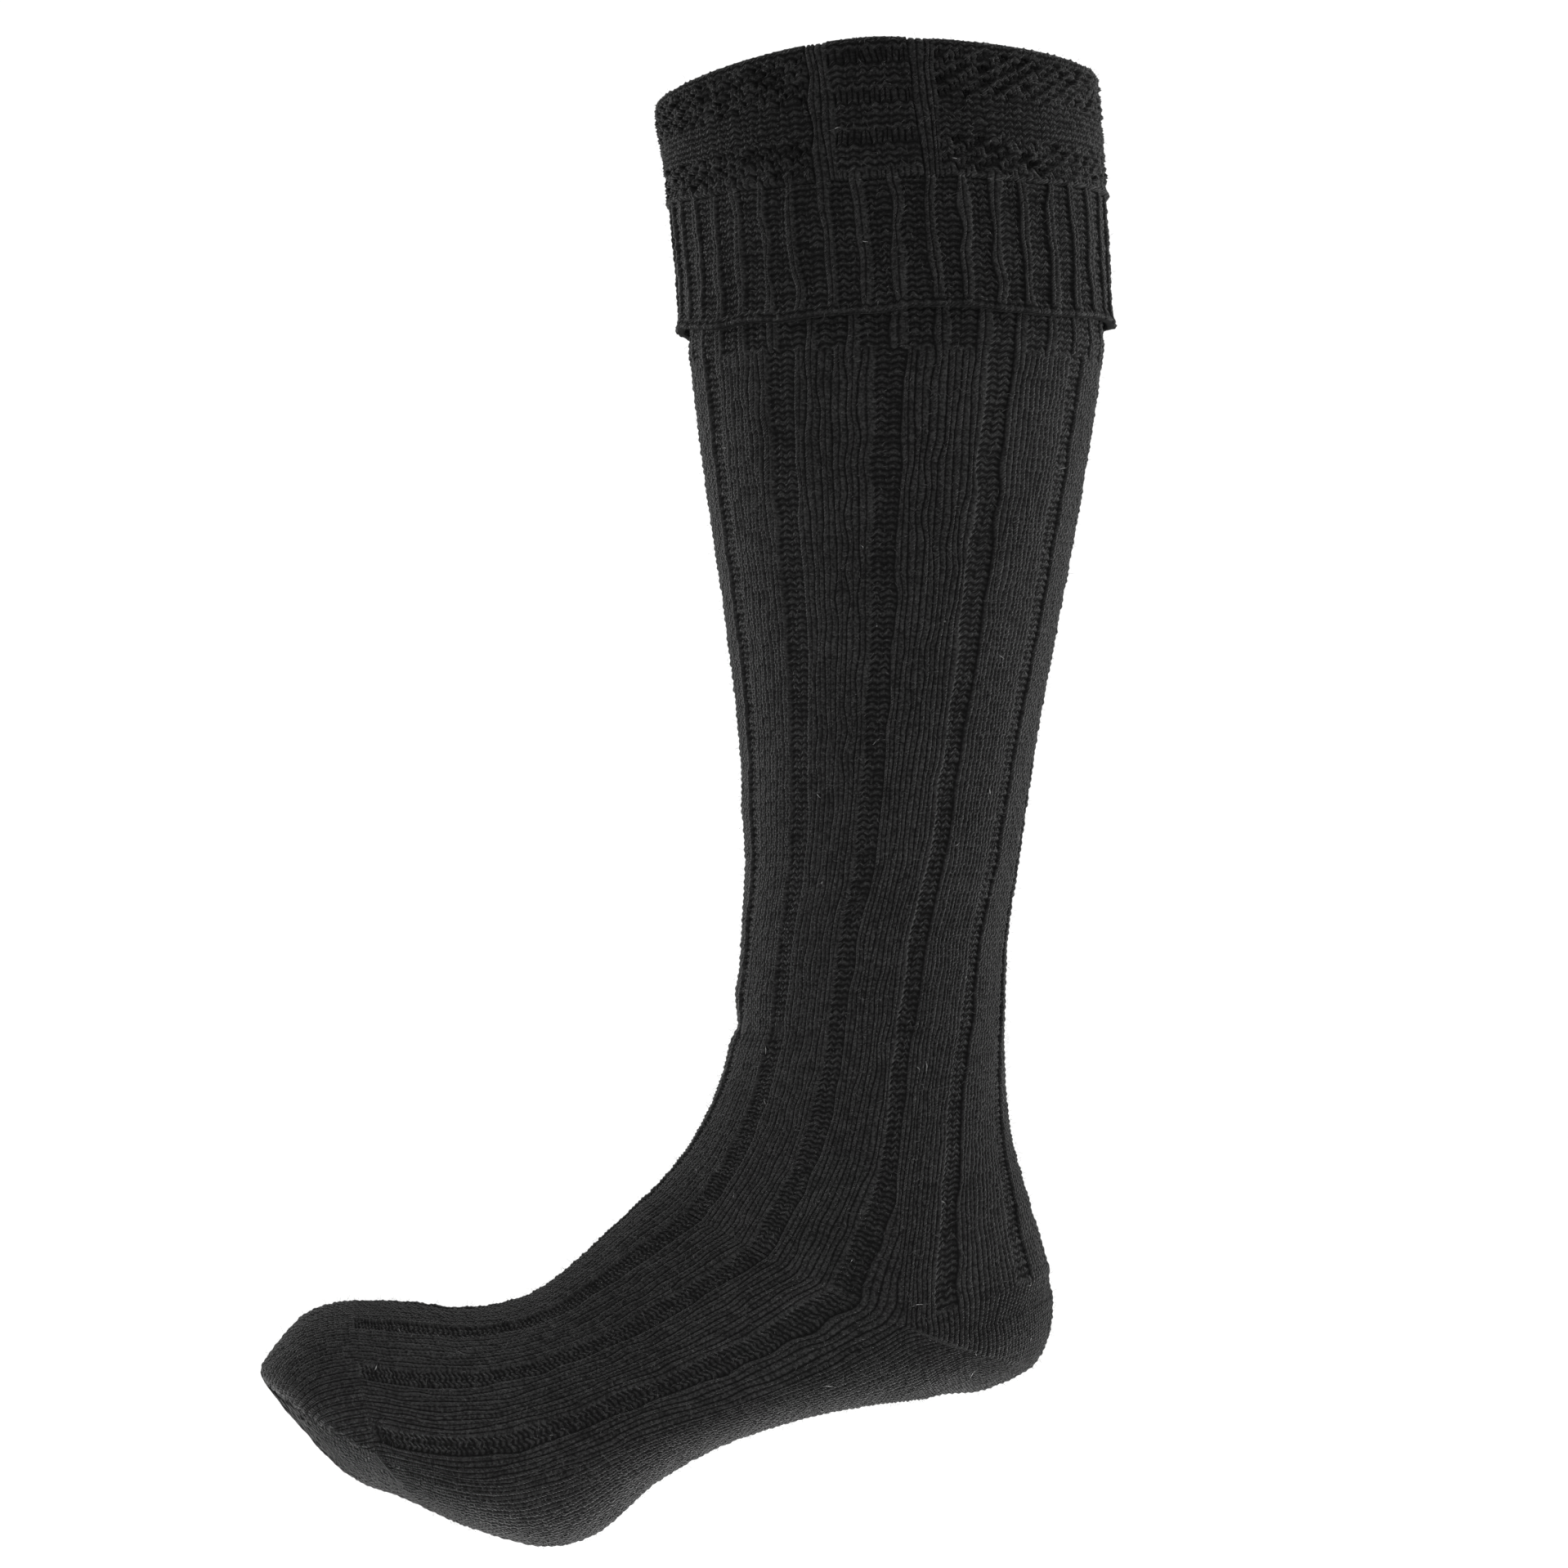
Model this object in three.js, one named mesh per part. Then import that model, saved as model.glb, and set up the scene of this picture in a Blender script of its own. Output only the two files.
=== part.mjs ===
// A kilt hose sock: a knitted stocking with a deep turned-down cuff, in the form of the leg it fits.
// Millimetres, +Z up. The origin is the middle of the leg opening at the height of the rim's side.
// The toe points to -X, the heel to +X, and the two sides face -Y and +Y.
import * as THREE from "three";

// Lengths and heights
const LEG_LENGTH = 312.5; // rim to the crease of the ankle
const ANKLE_HEIGHT = 172; // crease of the ankle above the lowest point of the sole
const FOOT_LENGTH = 260; // back of the heel to the tip of the toe
const BAND_DEPTH = 44.5; // rim to the end of the patterned band
const CUFF_DEPTH = 85.5; // rim to the hem of the rib welt

// Front to back and side to side, outside the knit
const CALF_DEPTH = 136;
const CALF_WIDTH = 124;
const ANKLE_DEPTH = 88;
const ANKLE_WIDTH = 72;
const FOOT_WIDTH = 94;

// Knit
const LEG_WALL = 2.4;
const CUFF_WALL = 2.5;
const LEG_RECESS = 1.1; // how deep the purl channels of the leg lie
const WELT_RECESS = 0.9; // how deep the purl channels of the welt lie
const BAND_RELIEF = 0.5; // how far the textured stripes of the band stand proud of its plain ones
const HEM_FLARE = 0.7; // how far the cast-off edge stands off
const CUFF_GAP = 0.6; // air between the leg and the turned-down cuff
const JOINT_GAP = 0.3; // between neighbouring parts

// Stitches
const RIB_REPEATS = 12; // knit six, purl two, round the leg
const REPEAT_WALES = 8;
const WALES = RIB_REPEATS * REPEAT_WALES;
const CHANNEL_FLOOR = 0.6; // half the channel's floor, in wales
const CHANNEL_MOUTH = 1.15; // half the channel's mouth, in wales
const WELT_REPEATS = 40; // knit one, purl two, round the cuff
const WELT_KNIT_SHARE = 0.36; // the knit column's share of a repeat
const QUARTER = WALES / 4; // wales from the middle of the front to the side
const HEEL_INSET = 0.4; // wales from the side to the first wale of the heel pocket

// Where the ankle and the heel stand
const ANKLE_LEAN = -0.05; // the ankle's middle in front of the rim's, as a share of CALF_DEPTH
const HEEL_REACH = 0.683; // the heel's back behind the ankle's middle, as a share of ANKLE_DEPTH
const ANKLE_CENTRE = ANKLE_LEAN * CALF_DEPTH;
const HEEL_BACK = ANKLE_CENTRE + HEEL_REACH * ANKLE_DEPTH;
const SOLE_LEVEL = -(LEG_LENGTH + ANKLE_HEIGHT);
const WAY_ROUND = 2 * Math.PI;

// How a ring dips between its front, side and back points: 1 is straight, and more is a rounder dip
const LEG_BOW = 1.5;
const FOOT_BOW = 1;

// How finely each piece is cut along its length, outside and inside
const LEG_STEPS = { outer: 14, inner: 8 };
const FOOT_STEPS = { outer: 12, inner: 6 };
const TOE_STEPS = { outer: 6, inner: 4 };
const HEEL_STEPS = 8;
const FOLD_STEPS = 5; // facets round the fold at the rim
const GAP_STEPS = 2; // facets round the air inside the fold
const NORMAL_STEP = 0.02; // of a ring and of a wale, to find the direction out of the knit
const PLACE_HALVINGS = 30; // to find a place down the leg
const TOE_TIP_WALLS = 2; // how thick the tip is, in walls

// Rows of numbers as objects with named columns.
function named(columns, rows) {
  return rows.map((row) => Object.fromEntries(columns.map((name, i) => [name, row[i]])));
}

// Leg rings from the rim down. front, side and back: how far down, as shares of LEG_LENGTH. deep and wide:
// 1 is the calf's depth and width, 0 the ankle's. lean: the ring's middle, as a share of CALF_DEPTH. turn and
// side_turn: how far the rib has wound round the leg, in degrees, at the front and back and at the side.
const LEG_COLUMNS = ["front", "side", "back", "deep", "wide", "lean", "turn", "side_turn"];
const LEG_RINGS = named(LEG_COLUMNS, [
  [0.036, 0, 0.008, 1.06, 1, -0.037, 40, 44],
  [0.14, 0.137, 0.135, 1.03, 1, -0.009, 40, 44],
  [0.266, 0.266, 0.266, 1, 1, 0.011, 40, 44],
  [0.309, 0.309, 0.309, 0.99, 1, 0.012, 40, 44],
  [0.438, 0.438, 0.438, 0.758, 0.923, 0.008, 39, 43],
  [0.567, 0.567, 0.567, 0.483, 0.73, 0.003, 39, 42],
  [0.695, 0.695, 0.695, 0.227, 0.5, -0.007, 38, 40],
  [0.824, 0.824, 0.824, 0.054, 0.27, -0.021, 36, 37],
  [0.909, 0.909, 0.909, 0, 0.115, -0.04, 33, 33],
  [0.995, 0.998, 0.995, 0.015, 0, -0.05, 31, 29],
]);

// Rings of the ankle, heel and foot, each a top, a side and an under point seen from the side. *_on: forward
// from the back of the heel, as shares of FOOT_LENGTH. *_up: above the sole, as shares of ANKLE_HEIGHT.
// wide: share of FOOT_WIDTH. turn and side_turn are the leg's.
const UNDER_COLUMNS = ["under_on", "under_up"];
const OVER_COLUMNS = ["top_on", "top_up", "side_on", "side_up"];
const FOOT_COLUMNS = [...OVER_COLUMNS, ...UNDER_COLUMNS, "wide", "turn", "side_turn"];
const ANKLE_RINGS = named(FOOT_COLUMNS, [
  [0.415, 0.923, 0.221, 0.915, 0.061, 0.931, 0.757, 29, 23],
  [0.433, 0.846, 0.21, 0.777, 0.055, 0.807, 0.752, 26, 16],
  [0.46, 0.769, 0.2, 0.638, 0.04, 0.715, 0.752, 23, 8],
  [0.484, 0.723, 0.195, 0.53, 0.022, 0.622, 0.755, 21, 3],
  [0.507, 0.684, 0.19, 0.448, 0.004, 0.533, 0.757, 20, 0],
]);

// The heel's outline from its first course to its last, behind and under the point where its courses meet.
const HEEL_ROWS = named(UNDER_COLUMNS, [
  [0.004, 0.533],
  [0, 0.468],
  [0.006, 0.402],
  [0.03, 0.343],
  [0.092, 0.3],
  [0.164, 0.284],
]);

const FOOT_RINGS = named(FOOT_COLUMNS, [
  [0.507, 0.684, 0.19, 0.448, 0.164, 0.284, 0.757, 20, 0],
  [0.557, 0.615, 0.277, 0.376, 0.226, 0.274, 0.75, 18, 0],
  [0.592, 0.565, 0.349, 0.33, 0.298, 0.256, 0.77, 17, 0],
  [0.628, 0.519, 0.422, 0.291, 0.38, 0.22, 0.81, 16, 0],
  [0.664, 0.484, 0.489, 0.26, 0.442, 0.18, 0.85, 15, 0],
  [0.71, 0.464, 0.561, 0.222, 0.504, 0.122, 0.9, 14, 1],
  [0.757, 0.459, 0.628, 0.191, 0.571, 0.034, 0.96, 13, 2],
  [0.803, 0.467, 0.69, 0.176, 0.638, 0.008, 1, 12, 3],
  [0.839, 0.471, 0.746, 0.183, 0.721, 0.04, 1, 12, 4],
  [0.882, 0.471, 0.836, 0.214, 0.767, 0.07, 0.94, 12, 5],
]);

// The toe starts on the foot's last ring.
const TOE_RINGS = named(FOOT_COLUMNS, [
  [0.916, 0.464, 0.875, 0.245, 0.819, 0.103, 0.87, 12, 5],
  [0.947, 0.444, 0.911, 0.276, 0.86, 0.122, 0.79, 12, 5],
  [0.973, 0.404, 0.942, 0.299, 0.891, 0.149, 0.67, 12, 5],
  [0.991, 0.368, 0.966, 0.311, 0.927, 0.203, 0.48, 12, 5],
  [1, 0.345, 0.984, 0.314, 0.966, 0.265, 0.24, 12, 5],
]);
const TOE_TIP = { on: 0.994, up: 0.315 };

// The band's stripes from the rim down. down: share of BAND_DEPTH. proud: share of BAND_RELIEF.
const BAND_STRIPES = [
  { down: 0.16, proud: 1 },
  { down: 0.38, proud: 1 },
  { down: 0.44, proud: 0 },
  { down: 0.72, proud: 0 },
  { down: 0.78, proud: 1 },
  { down: 1, proud: 1 },
];

// A ring: top (or front), side and under (or back) points of the side view as [x, z], half its width, its bow
// and its turn.
function legRing(row) {
  const half = (ANKLE_DEPTH + (CALF_DEPTH - ANKLE_DEPTH) * row.deep) / 2;
  const middle = row.lean * CALF_DEPTH;
  return {
    top: [middle - half, -row.front * LEG_LENGTH],
    side: [middle, -row.side * LEG_LENGTH],
    under: [middle + half, -row.back * LEG_LENGTH],
    wide: (ANKLE_WIDTH + (CALF_WIDTH - ANKLE_WIDTH) * row.wide) / 2,
    bow: LEG_BOW,
    turn: row.turn,
    side_turn: row.side_turn,
  };
}

function footPoint(on, up) {
  return [HEEL_BACK - on * FOOT_LENGTH, SOLE_LEVEL + up * ANKLE_HEIGHT];
}

function footRing(row) {
  return {
    top: footPoint(row.top_on, row.top_up),
    side: footPoint(row.side_on, row.side_up),
    under: footPoint(row.under_on, row.under_up),
    wide: (row.wide * FOOT_WIDTH) / 2,
    bow: FOOT_BOW,
    turn: row.turn,
    side_turn: row.side_turn,
  };
}

const heelStart = ANKLE_RINGS[ANKLE_RINGS.length - 1];
const legRings = [...LEG_RINGS.map(legRing), ...ANKLE_RINGS.map(footRing)];
const heelRings = HEEL_ROWS.map((row) => footRing({ ...heelStart, ...row }));
const footRings = FOOT_RINGS.map(footRing);
const toeRings = [footRings[footRings.length - 1], ...TOE_RINGS.map(footRing)];

// A smooth value a fraction f of the way from b to c, by a cubic that passes through all its points.
function smooth(a, b, c, d, f) {
  const bend = 2 * a - 5 * b + 4 * c - d;
  const twist = 3 * b - a - 3 * c + d;
  return b + 0.5 * f * (c - a + f * (bend + f * twist));
}

// The ring at place t along a list of rings, where whole numbers are the rings themselves.
function ringAt(rings, t) {
  const last = rings.length - 1;
  const place = Math.min(Math.max(t, 0), last);
  const i = Math.min(Math.floor(place), last - 1);
  const near = [rings[Math.max(i - 1, 0)], rings[i], rings[i + 1], rings[Math.min(i + 2, last)]];
  const mix = (read) => smooth(...near.map(read), place - i);
  const mixPoint = (name) => [mix((ring) => ring[name][0]), mix((ring) => ring[name][1])];
  return {
    top: mixPoint("top"),
    side: mixPoint("side"),
    under: mixPoint("under"),
    wide: mix((ring) => ring.wide),
    bow: mix((ring) => ring.bow),
    turn: mix((ring) => ring.turn),
    side_turn: mix((ring) => ring.side_turn),
  };
}

// The outer surface at place t and a number of wales from the middle of the front, towards -Y.
function knitPoint(rings, t, wale) {
  const ring = ringAt(rings, t);
  const plain = (wale / WALES) * WAY_ROUND;
  const share = Math.cos(plain) ** 2;
  const turn = ring.turn * share + ring.side_turn * (1 - share);
  const angle = plain + THREE.MathUtils.degToRad(turn);
  const reach = Math.cos(angle);
  const end = reach > 0 ? ring.top : ring.under;
  return new THREE.Vector3(
    ring.side[0] + (end[0] - ring.side[0]) * Math.abs(reach),
    -ring.wide * Math.sin(angle),
    ring.side[1] + (end[1] - ring.side[1]) * Math.abs(reach) ** ring.bow,
  );
}

// The direction out of the knit there.
function knitOut(rings, t, wale) {
  const along = knitPoint(rings, t + NORMAL_STEP, wale).sub(knitPoint(rings, t - NORMAL_STEP, wale));
  const round = knitPoint(rings, t, wale + NORMAL_STEP).sub(knitPoint(rings, t, wale - NORMAL_STEP));
  return round.cross(along).normalize().negate();
}

// A point moved out of the knit by a distance, or into it where the distance is negative.
function raised(rings, t, wale, distance) {
  return knitPoint(rings, t, wale).addScaledVector(knitOut(rings, t, wale), distance);
}

// How deep the rib's purl channel is at a wale: 0 on a knit panel, 1 on the channel's floor.
function channel(wale) {
  const inRepeat = ((wale % REPEAT_WALES) + REPEAT_WALES) % REPEAT_WALES;
  const away = Math.abs(inRepeat - REPEAT_WALES / 2);
  return THREE.MathUtils.clamp((CHANNEL_MOUTH - away) / (CHANNEL_MOUTH - CHANNEL_FLOOR), 0, 1);
}

// The wales at which the rib's outline turns, once round.
function ribWales() {
  const middle = REPEAT_WALES / 2;
  const before = [middle - CHANNEL_MOUTH, middle - CHANNEL_FLOOR];
  const after = [middle + CHANNEL_FLOOR, middle + CHANNEL_MOUTH];
  const turns = [0, ...before, ...after];
  const wales = [];
  for (let repeat = 0; repeat < RIB_REPEATS; repeat += 1) {
    for (const turn of turns) {
      wales.push(repeat * REPEAT_WALES + turn);
    }
  }
  return wales;
}

// Evenly spaced places from one to another.
function places(from, to, steps) {
  return Array.from({ length: steps + 1 }, (_, i) => from + ((to - from) * i) / steps);
}

// Moves every point of a ring towards the next ring by half a joint's gap.
function drawBack(ring, next) {
  return ring.map((point, i) => {
    const way = next[i].clone().sub(point);
    return point.clone().addScaledVector(way.normalize(), JOINT_GAP / 2);
  });
}

// The joint's gap is opened at both ends of a list of rings, or at its first ring alone.
function openJoints(rings, bothEnds) {
  const last = rings.length - 1;
  const opened = rings.slice();
  opened[0] = drawBack(rings[0], rings[1]);
  if (bothEnds) {
    opened[last] = drawBack(rings[last], rings[last - 1]);
  }
  return opened;
}

// Triangles between two loops of as many points.
function joinLoops(faces, from, to, count) {
  for (let i = 0; i < count; i += 1) {
    const next = (i + 1) % count;
    faces.push(from + i, to + i, to + next);
    faces.push(from + i, to + next, from + next);
  }
}

// A mesh geometry whose faces point out, whichever way its points were listed.
function outward(points, faces) {
  let volume = 0;
  for (let i = 0; i < faces.length; i += 3) {
    const [a, b, c] = [points[faces[i]], points[faces[i + 1]], points[faces[i + 2]]];
    volume += a.dot(b.clone().cross(c));
  }
  if (volume < 0) {
    faces.reverse();
  }
  const geometry = new THREE.BufferGeometry().setFromPoints(points);
  geometry.setIndex(faces);
  geometry.computeVertexNormals();
  return geometry;
}

// A wall that goes right round: loops of points that follow the wall's section, the last joined to the first.
function hoop(loops) {
  const count = loops[0].length;
  const faces = [];
  for (let i = 0; i < loops.length; i += 1) {
    joinLoops(faces, i * count, ((i + 1) % loops.length) * count, count);
  }
  return outward(loops.flat(), faces);
}

// A cap: loops from the outer tip over the rim to the inner tip, closed at both tips.
function bowl(loops, outerTip, innerTip) {
  const count = loops[0].length;
  const faces = [];
  for (let i = 0; i + 1 < loops.length; i += 1) {
    joinLoops(faces, i * count, (i + 1) * count, count);
  }
  const tips = loops.length * count;
  const innerLoop = (loops.length - 1) * count;
  for (let i = 0; i < count; i += 1) {
    const next = (i + 1) % count;
    faces.push(tips, i, next);
    faces.push(tips + 1, innerLoop + next, innerLoop + i);
  }
  return outward([...loops.flat(), outerTip, innerTip], faces);
}

// A curved sheet with a wall: sections across it, each out along the outer face and back along the inner one.
function sheet(sections) {
  const count = sections[0].length;
  const faces = [];
  for (let i = 0; i + 1 < sections.length; i += 1) {
    joinLoops(faces, i * count, (i + 1) * count, count);
  }
  const end = (sections.length - 1) * count;
  for (let i = 0; i + 1 < count / 2; i += 1) {
    const back = count - 1 - i;
    faces.push(i, i + 1, back - 1, i, back - 1, back);
    faces.push(end + i, end + back - 1, end + i + 1, end + i, end + back, end + back - 1);
  }
  return outward(sections.flat(), faces);
}

// Rings of the ribbed outer face and of the plain inner face of a tube, at the given places.
function outerFace(rings, at, wales, recess) {
  return at.map((t) => wales.map((wale) => raised(rings, t, wale, -recess(wale))));
}

function innerFace(rings, at, wales) {
  return at.map((t) => wales.map((wale) => raised(rings, t, wale, -LEG_WALL)));
}

// The place along the leg that lies a distance below the rim's side.
function placeBelowRim(distance) {
  let [low, high] = [0, LEG_RINGS.length - 1];
  for (let i = 0; i < PLACE_HALVINGS; i += 1) {
    const middle = (low + high) / 2;
    if (-ringAt(legRings, middle).side[1] < distance) {
      low = middle;
    } else {
      high = middle;
    }
  }
  return (low + high) / 2;
}

// How far below the rim the fold turns into the leg.
const FOLD_RADIUS = CUFF_GAP / 2 + CUFF_WALL;

function legTube() {
  const wales = ribWales();
  const top = placeBelowRim(FOLD_RADIUS + JOINT_GAP);
  const end = legRings.length - 1;
  const ribbed = (wale) => LEG_RECESS * channel(wale);
  const outer = outerFace(legRings, [top, ...places(1, end, LEG_STEPS.outer)], wales, ribbed);
  const inner = innerFace(legRings, [top, ...places(2, end, LEG_STEPS.inner)], wales);
  outer[outer.length - 1] = drawBack(outer[outer.length - 1], outer[outer.length - 2]);
  inner[inner.length - 1] = drawBack(inner[inner.length - 1], inner[inner.length - 2]);
  return hoop([...outer, ...inner.reverse()]);
}

// The instep keeps the leg's rib and the sole is plain.
function footChannel(wale) {
  const fromFront = Math.min(wale, WALES - wale);
  return fromFront < QUARTER ? LEG_RECESS * channel(wale) : 0;
}

function footTube() {
  const wales = ribWales();
  const end = footRings.length - 1;
  const outer = openJoints(outerFace(footRings, places(0, end, FOOT_STEPS.outer), wales, footChannel), true);
  const inner = openJoints(innerFace(footRings, places(0, end, FOOT_STEPS.inner), wales), true);
  return hoop([...outer, ...inner.reverse()]);
}

function toeCap() {
  const wales = ribWales();
  const end = toeRings.length - 1;
  const outer = openJoints(outerFace(toeRings, places(0, end, TOE_STEPS.outer), wales, () => 0), false);
  const inside = innerFace(toeRings, places(0, end - 1, TOE_STEPS.inner), wales);
  // Its inner edge lies on the foot's, so that the two walls meet without crossing.
  inside[0] = innerFace(footRings, [footRings.length - 1], wales)[0];
  const inner = openJoints(inside, false);
  const [x, z] = footPoint(TOE_TIP.on, TOE_TIP.up);
  const outerTip = new THREE.Vector3(x, 0, z);
  const innerTip = outerTip.clone().setX(x + TOE_TIP_WALLS * LEG_WALL);
  return bowl([...outer.reverse(), ...inner], outerTip, innerTip);
}

// The heel pocket runs from side to side round the back. Its courses fan out from one point on each side.
function heelPocket() {
  const wales = ribWales().filter((wale) => wale > QUARTER && wale < WALES - QUARTER);
  const across = [QUARTER + HEEL_INSET, ...wales, WALES - QUARTER - HEEL_INSET];
  const at = places(0, heelRings.length - 1, HEEL_STEPS);
  const outer = openJoints(outerFace(heelRings, at, across, () => 0), true);
  const inside = innerFace(heelRings, at, across);
  // Its inner edges lie on those of the leg and the foot, so that the three walls meet without crossing.
  inside[0] = innerFace(legRings, [legRings.length - 1], across)[0];
  inside[inside.length - 1] = innerFace(footRings, [0], across)[0];
  const inner = openJoints(inside, true);
  const sections = across.map((_, i) => {
    const out = outer.map((row) => row[i]);
    const back = inner.map((row) => row[i]).reverse();
    return [...out, ...back];
  });
  return sheet(sections);
}

// A loop round the leg, a distance below the rim and a distance out of the leg's surface.
function cuffLoop(down, out, wales) {
  const t = placeBelowRim(down);
  return wales.map((wale) => raised(legRings, t, wale, typeof out === "function" ? out(wale) : out));
}

// The patterned band, hooked over the rim: its fold closes on the top of the leg's wall.
function patternBand() {
  const wales = ribWales();
  const middle = CUFF_GAP / 2;
  const loops = [];
  for (const turn of places(Math.PI, 0, FOLD_STEPS)) {
    const down = FOLD_RADIUS * (1 - Math.sin(turn));
    loops.push(cuffLoop(down, middle + FOLD_RADIUS * Math.cos(turn), wales));
  }
  for (const stripe of BAND_STRIPES) {
    const out = CUFF_GAP + CUFF_WALL + stripe.proud * BAND_RELIEF;
    loops.push(cuffLoop(stripe.down * BAND_DEPTH - JOINT_GAP / 2, out, wales));
  }
  loops.push(cuffLoop(BAND_DEPTH - JOINT_GAP / 2, CUFF_GAP, wales));
  loops.push(cuffLoop(BAND_DEPTH / 2, CUFF_GAP, wales));
  for (const turn of places(0, Math.PI, GAP_STEPS)) {
    const down = FOLD_RADIUS - middle * Math.sin(turn);
    loops.push(cuffLoop(down, middle + middle * Math.cos(turn), wales));
  }
  return hoop(loops);
}

// The rib welt that hangs below the band, with its edge standing off the leg.
function ribWelt() {
  const wales = [];
  const knit = [];
  for (let repeat = 0; repeat < WELT_REPEATS; repeat += 1) {
    wales.push((repeat / WELT_REPEATS) * WALES, ((repeat + WELT_KNIT_SHARE) / WELT_REPEATS) * WALES);
    knit.push(1, 1);
    const floor = (1 + WELT_KNIT_SHARE) / 2;
    wales.push(((repeat + floor) / WELT_REPEATS) * WALES);
    knit.push(0);
  }
  const isKnit = new Map(wales.map((wale, i) => [wale, knit[i]]));
  const ribbed = (flare) => (wale) => CUFF_GAP + CUFF_WALL + flare - WELT_RECESS * (1 - isKnit.get(wale));
  const top = BAND_DEPTH + JOINT_GAP / 2;
  const middle = (BAND_DEPTH + CUFF_DEPTH) / 2;
  return hoop([
    cuffLoop(top, ribbed(0), wales),
    cuffLoop(middle, ribbed(0), wales),
    cuffLoop(CUFF_DEPTH, ribbed(HEM_FLARE), wales),
    cuffLoop(CUFF_DEPTH, CUFF_GAP + HEM_FLARE, wales),
    cuffLoop(middle, CUFF_GAP, wales),
    cuffLoop(top, CUFF_GAP, wales),
  ]);
}

// Charcoal worsted wool, the same yarn all over.
function yarn() {
  return new THREE.MeshStandardMaterial({ color: 0x26262a, roughness: 0.95, metalness: 0 });
}

const sock = new THREE.Group();
const parts = {
  cuff_rib_welt: ribWelt(),
  cuff_pattern_band: patternBand(),
  leg_tube: legTube(),
  heel_pocket: heelPocket(),
  foot_tube: footTube(),
  toe_cap: toeCap(),
};
for (const [name, geometry] of Object.entries(parts)) {
  const mesh = new THREE.Mesh(geometry, yarn());
  mesh.name = name;
  sock.add(mesh);
}

export default sock;
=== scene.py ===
# %% [markdown]
# # A kilt hose in charcoal wool
#
# The frame holds the sock as six plain solids: the rib welt, the patterned band, the leg, the heel, the
# foot and the toe. This lesson dresses each of them in real stitches. A knitted fabric is a grid: wales are
# its columns and courses its rows. So each piece starts as a flat grid of a few faces a stitch, is wrapped
# round the sock by a function, and each point is raised or lowered by the yarn that passes there.

# %% Load the frame
import math

import bmesh
import bpy
import numpy as np
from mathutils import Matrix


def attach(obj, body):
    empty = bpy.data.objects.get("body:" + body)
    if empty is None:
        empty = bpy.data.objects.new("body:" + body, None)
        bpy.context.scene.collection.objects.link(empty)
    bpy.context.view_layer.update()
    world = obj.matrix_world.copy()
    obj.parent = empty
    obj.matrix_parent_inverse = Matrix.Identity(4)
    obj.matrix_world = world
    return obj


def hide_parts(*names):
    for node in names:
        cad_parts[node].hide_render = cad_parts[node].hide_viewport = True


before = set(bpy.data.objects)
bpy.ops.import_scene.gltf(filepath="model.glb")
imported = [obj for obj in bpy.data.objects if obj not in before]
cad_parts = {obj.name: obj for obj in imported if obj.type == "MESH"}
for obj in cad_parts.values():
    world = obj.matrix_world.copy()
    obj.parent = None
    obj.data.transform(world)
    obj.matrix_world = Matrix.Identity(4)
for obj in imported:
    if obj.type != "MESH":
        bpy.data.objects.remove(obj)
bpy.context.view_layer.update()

print("frame nodes:", ", ".join(sorted(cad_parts)))

# %% [markdown]
# ## Real sizes
#
# The same driving sizes as the solids have, in millimetres, but for the welt's channels, which are 0.1 mm
# deeper. A stitch of this worsted yarn is about 4 mm wide on the calf and 2.1 mm high: the knit is
# stretched sideways by the leg inside it.

# %% Sizes
MM = 0.001
LEG_LENGTH = 312.5
ANKLE_HEIGHT = 172.0
FOOT_LENGTH = 260.0
BAND_DEPTH = 44.5
CUFF_DEPTH = 85.5
CALF_DEPTH = 136.0
CALF_WIDTH = 124.0
ANKLE_DEPTH = 88.0
ANKLE_WIDTH = 72.0
FOOT_WIDTH = 94.0
LEG_WALL = 2.4
CUFF_WALL = 2.5
LEG_RECESS = 1.1
WELT_RECESS = 1.0
HEM_FLARE = 0.7
CUFF_GAP = 0.6
COURSE = 2.1
WALES = 96
QUARTER = WALES // 4
REPEAT_WALES = 8
CUFF_WALES = 120
ANKLE_LEAN = -0.05
HEEL_REACH = 0.683
HEEL_BACK = ANKLE_LEAN * CALF_DEPTH + HEEL_REACH * ANKLE_DEPTH
SOLE_LEVEL = -(LEG_LENGTH + ANKLE_HEIGHT)
print("stitch on the calf: %.1f x %.1f mm" % (math.pi * (CALF_DEPTH + CALF_WIDTH) / 2 / WALES, COURSE))

# %% [markdown]
# ## The form of the leg and the foot
#
# A worn sock takes the form of the leg. It could be sculpted, but rings are easier to check against a side
# view: each ring has a front, a side and a back point there, a half width, and a turn, because the rib
# winds slowly round the leg. The tables are the ones that the solids are made from, so the stitches land on
# them.

# %% Rings of the leg
# down at the front, side and back (shares of LEG_LENGTH), depth and width (1 calf, 0 ankle), lean (share of
# CALF_DEPTH), turn and side turn (degrees)
LEG_RINGS = [
    (0.036, 0.0, 0.008, 1.06, 1.0, -0.037, 40, 44),
    (0.14, 0.137, 0.135, 1.03, 1.0, -0.009, 40, 44),
    (0.266, 0.266, 0.266, 1.0, 1.0, 0.011, 40, 44),
    (0.309, 0.309, 0.309, 0.99, 1.0, 0.012, 40, 44),
    (0.438, 0.438, 0.438, 0.758, 0.923, 0.008, 39, 43),
    (0.567, 0.567, 0.567, 0.483, 0.73, 0.003, 39, 42),
    (0.695, 0.695, 0.695, 0.227, 0.5, -0.007, 38, 40),
    (0.824, 0.824, 0.824, 0.054, 0.27, -0.021, 36, 37),
    (0.909, 0.909, 0.909, 0.0, 0.115, -0.04, 33, 33),
    (0.995, 0.998, 0.995, 0.015, 0.0, -0.05, 31, 29),
]
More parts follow.
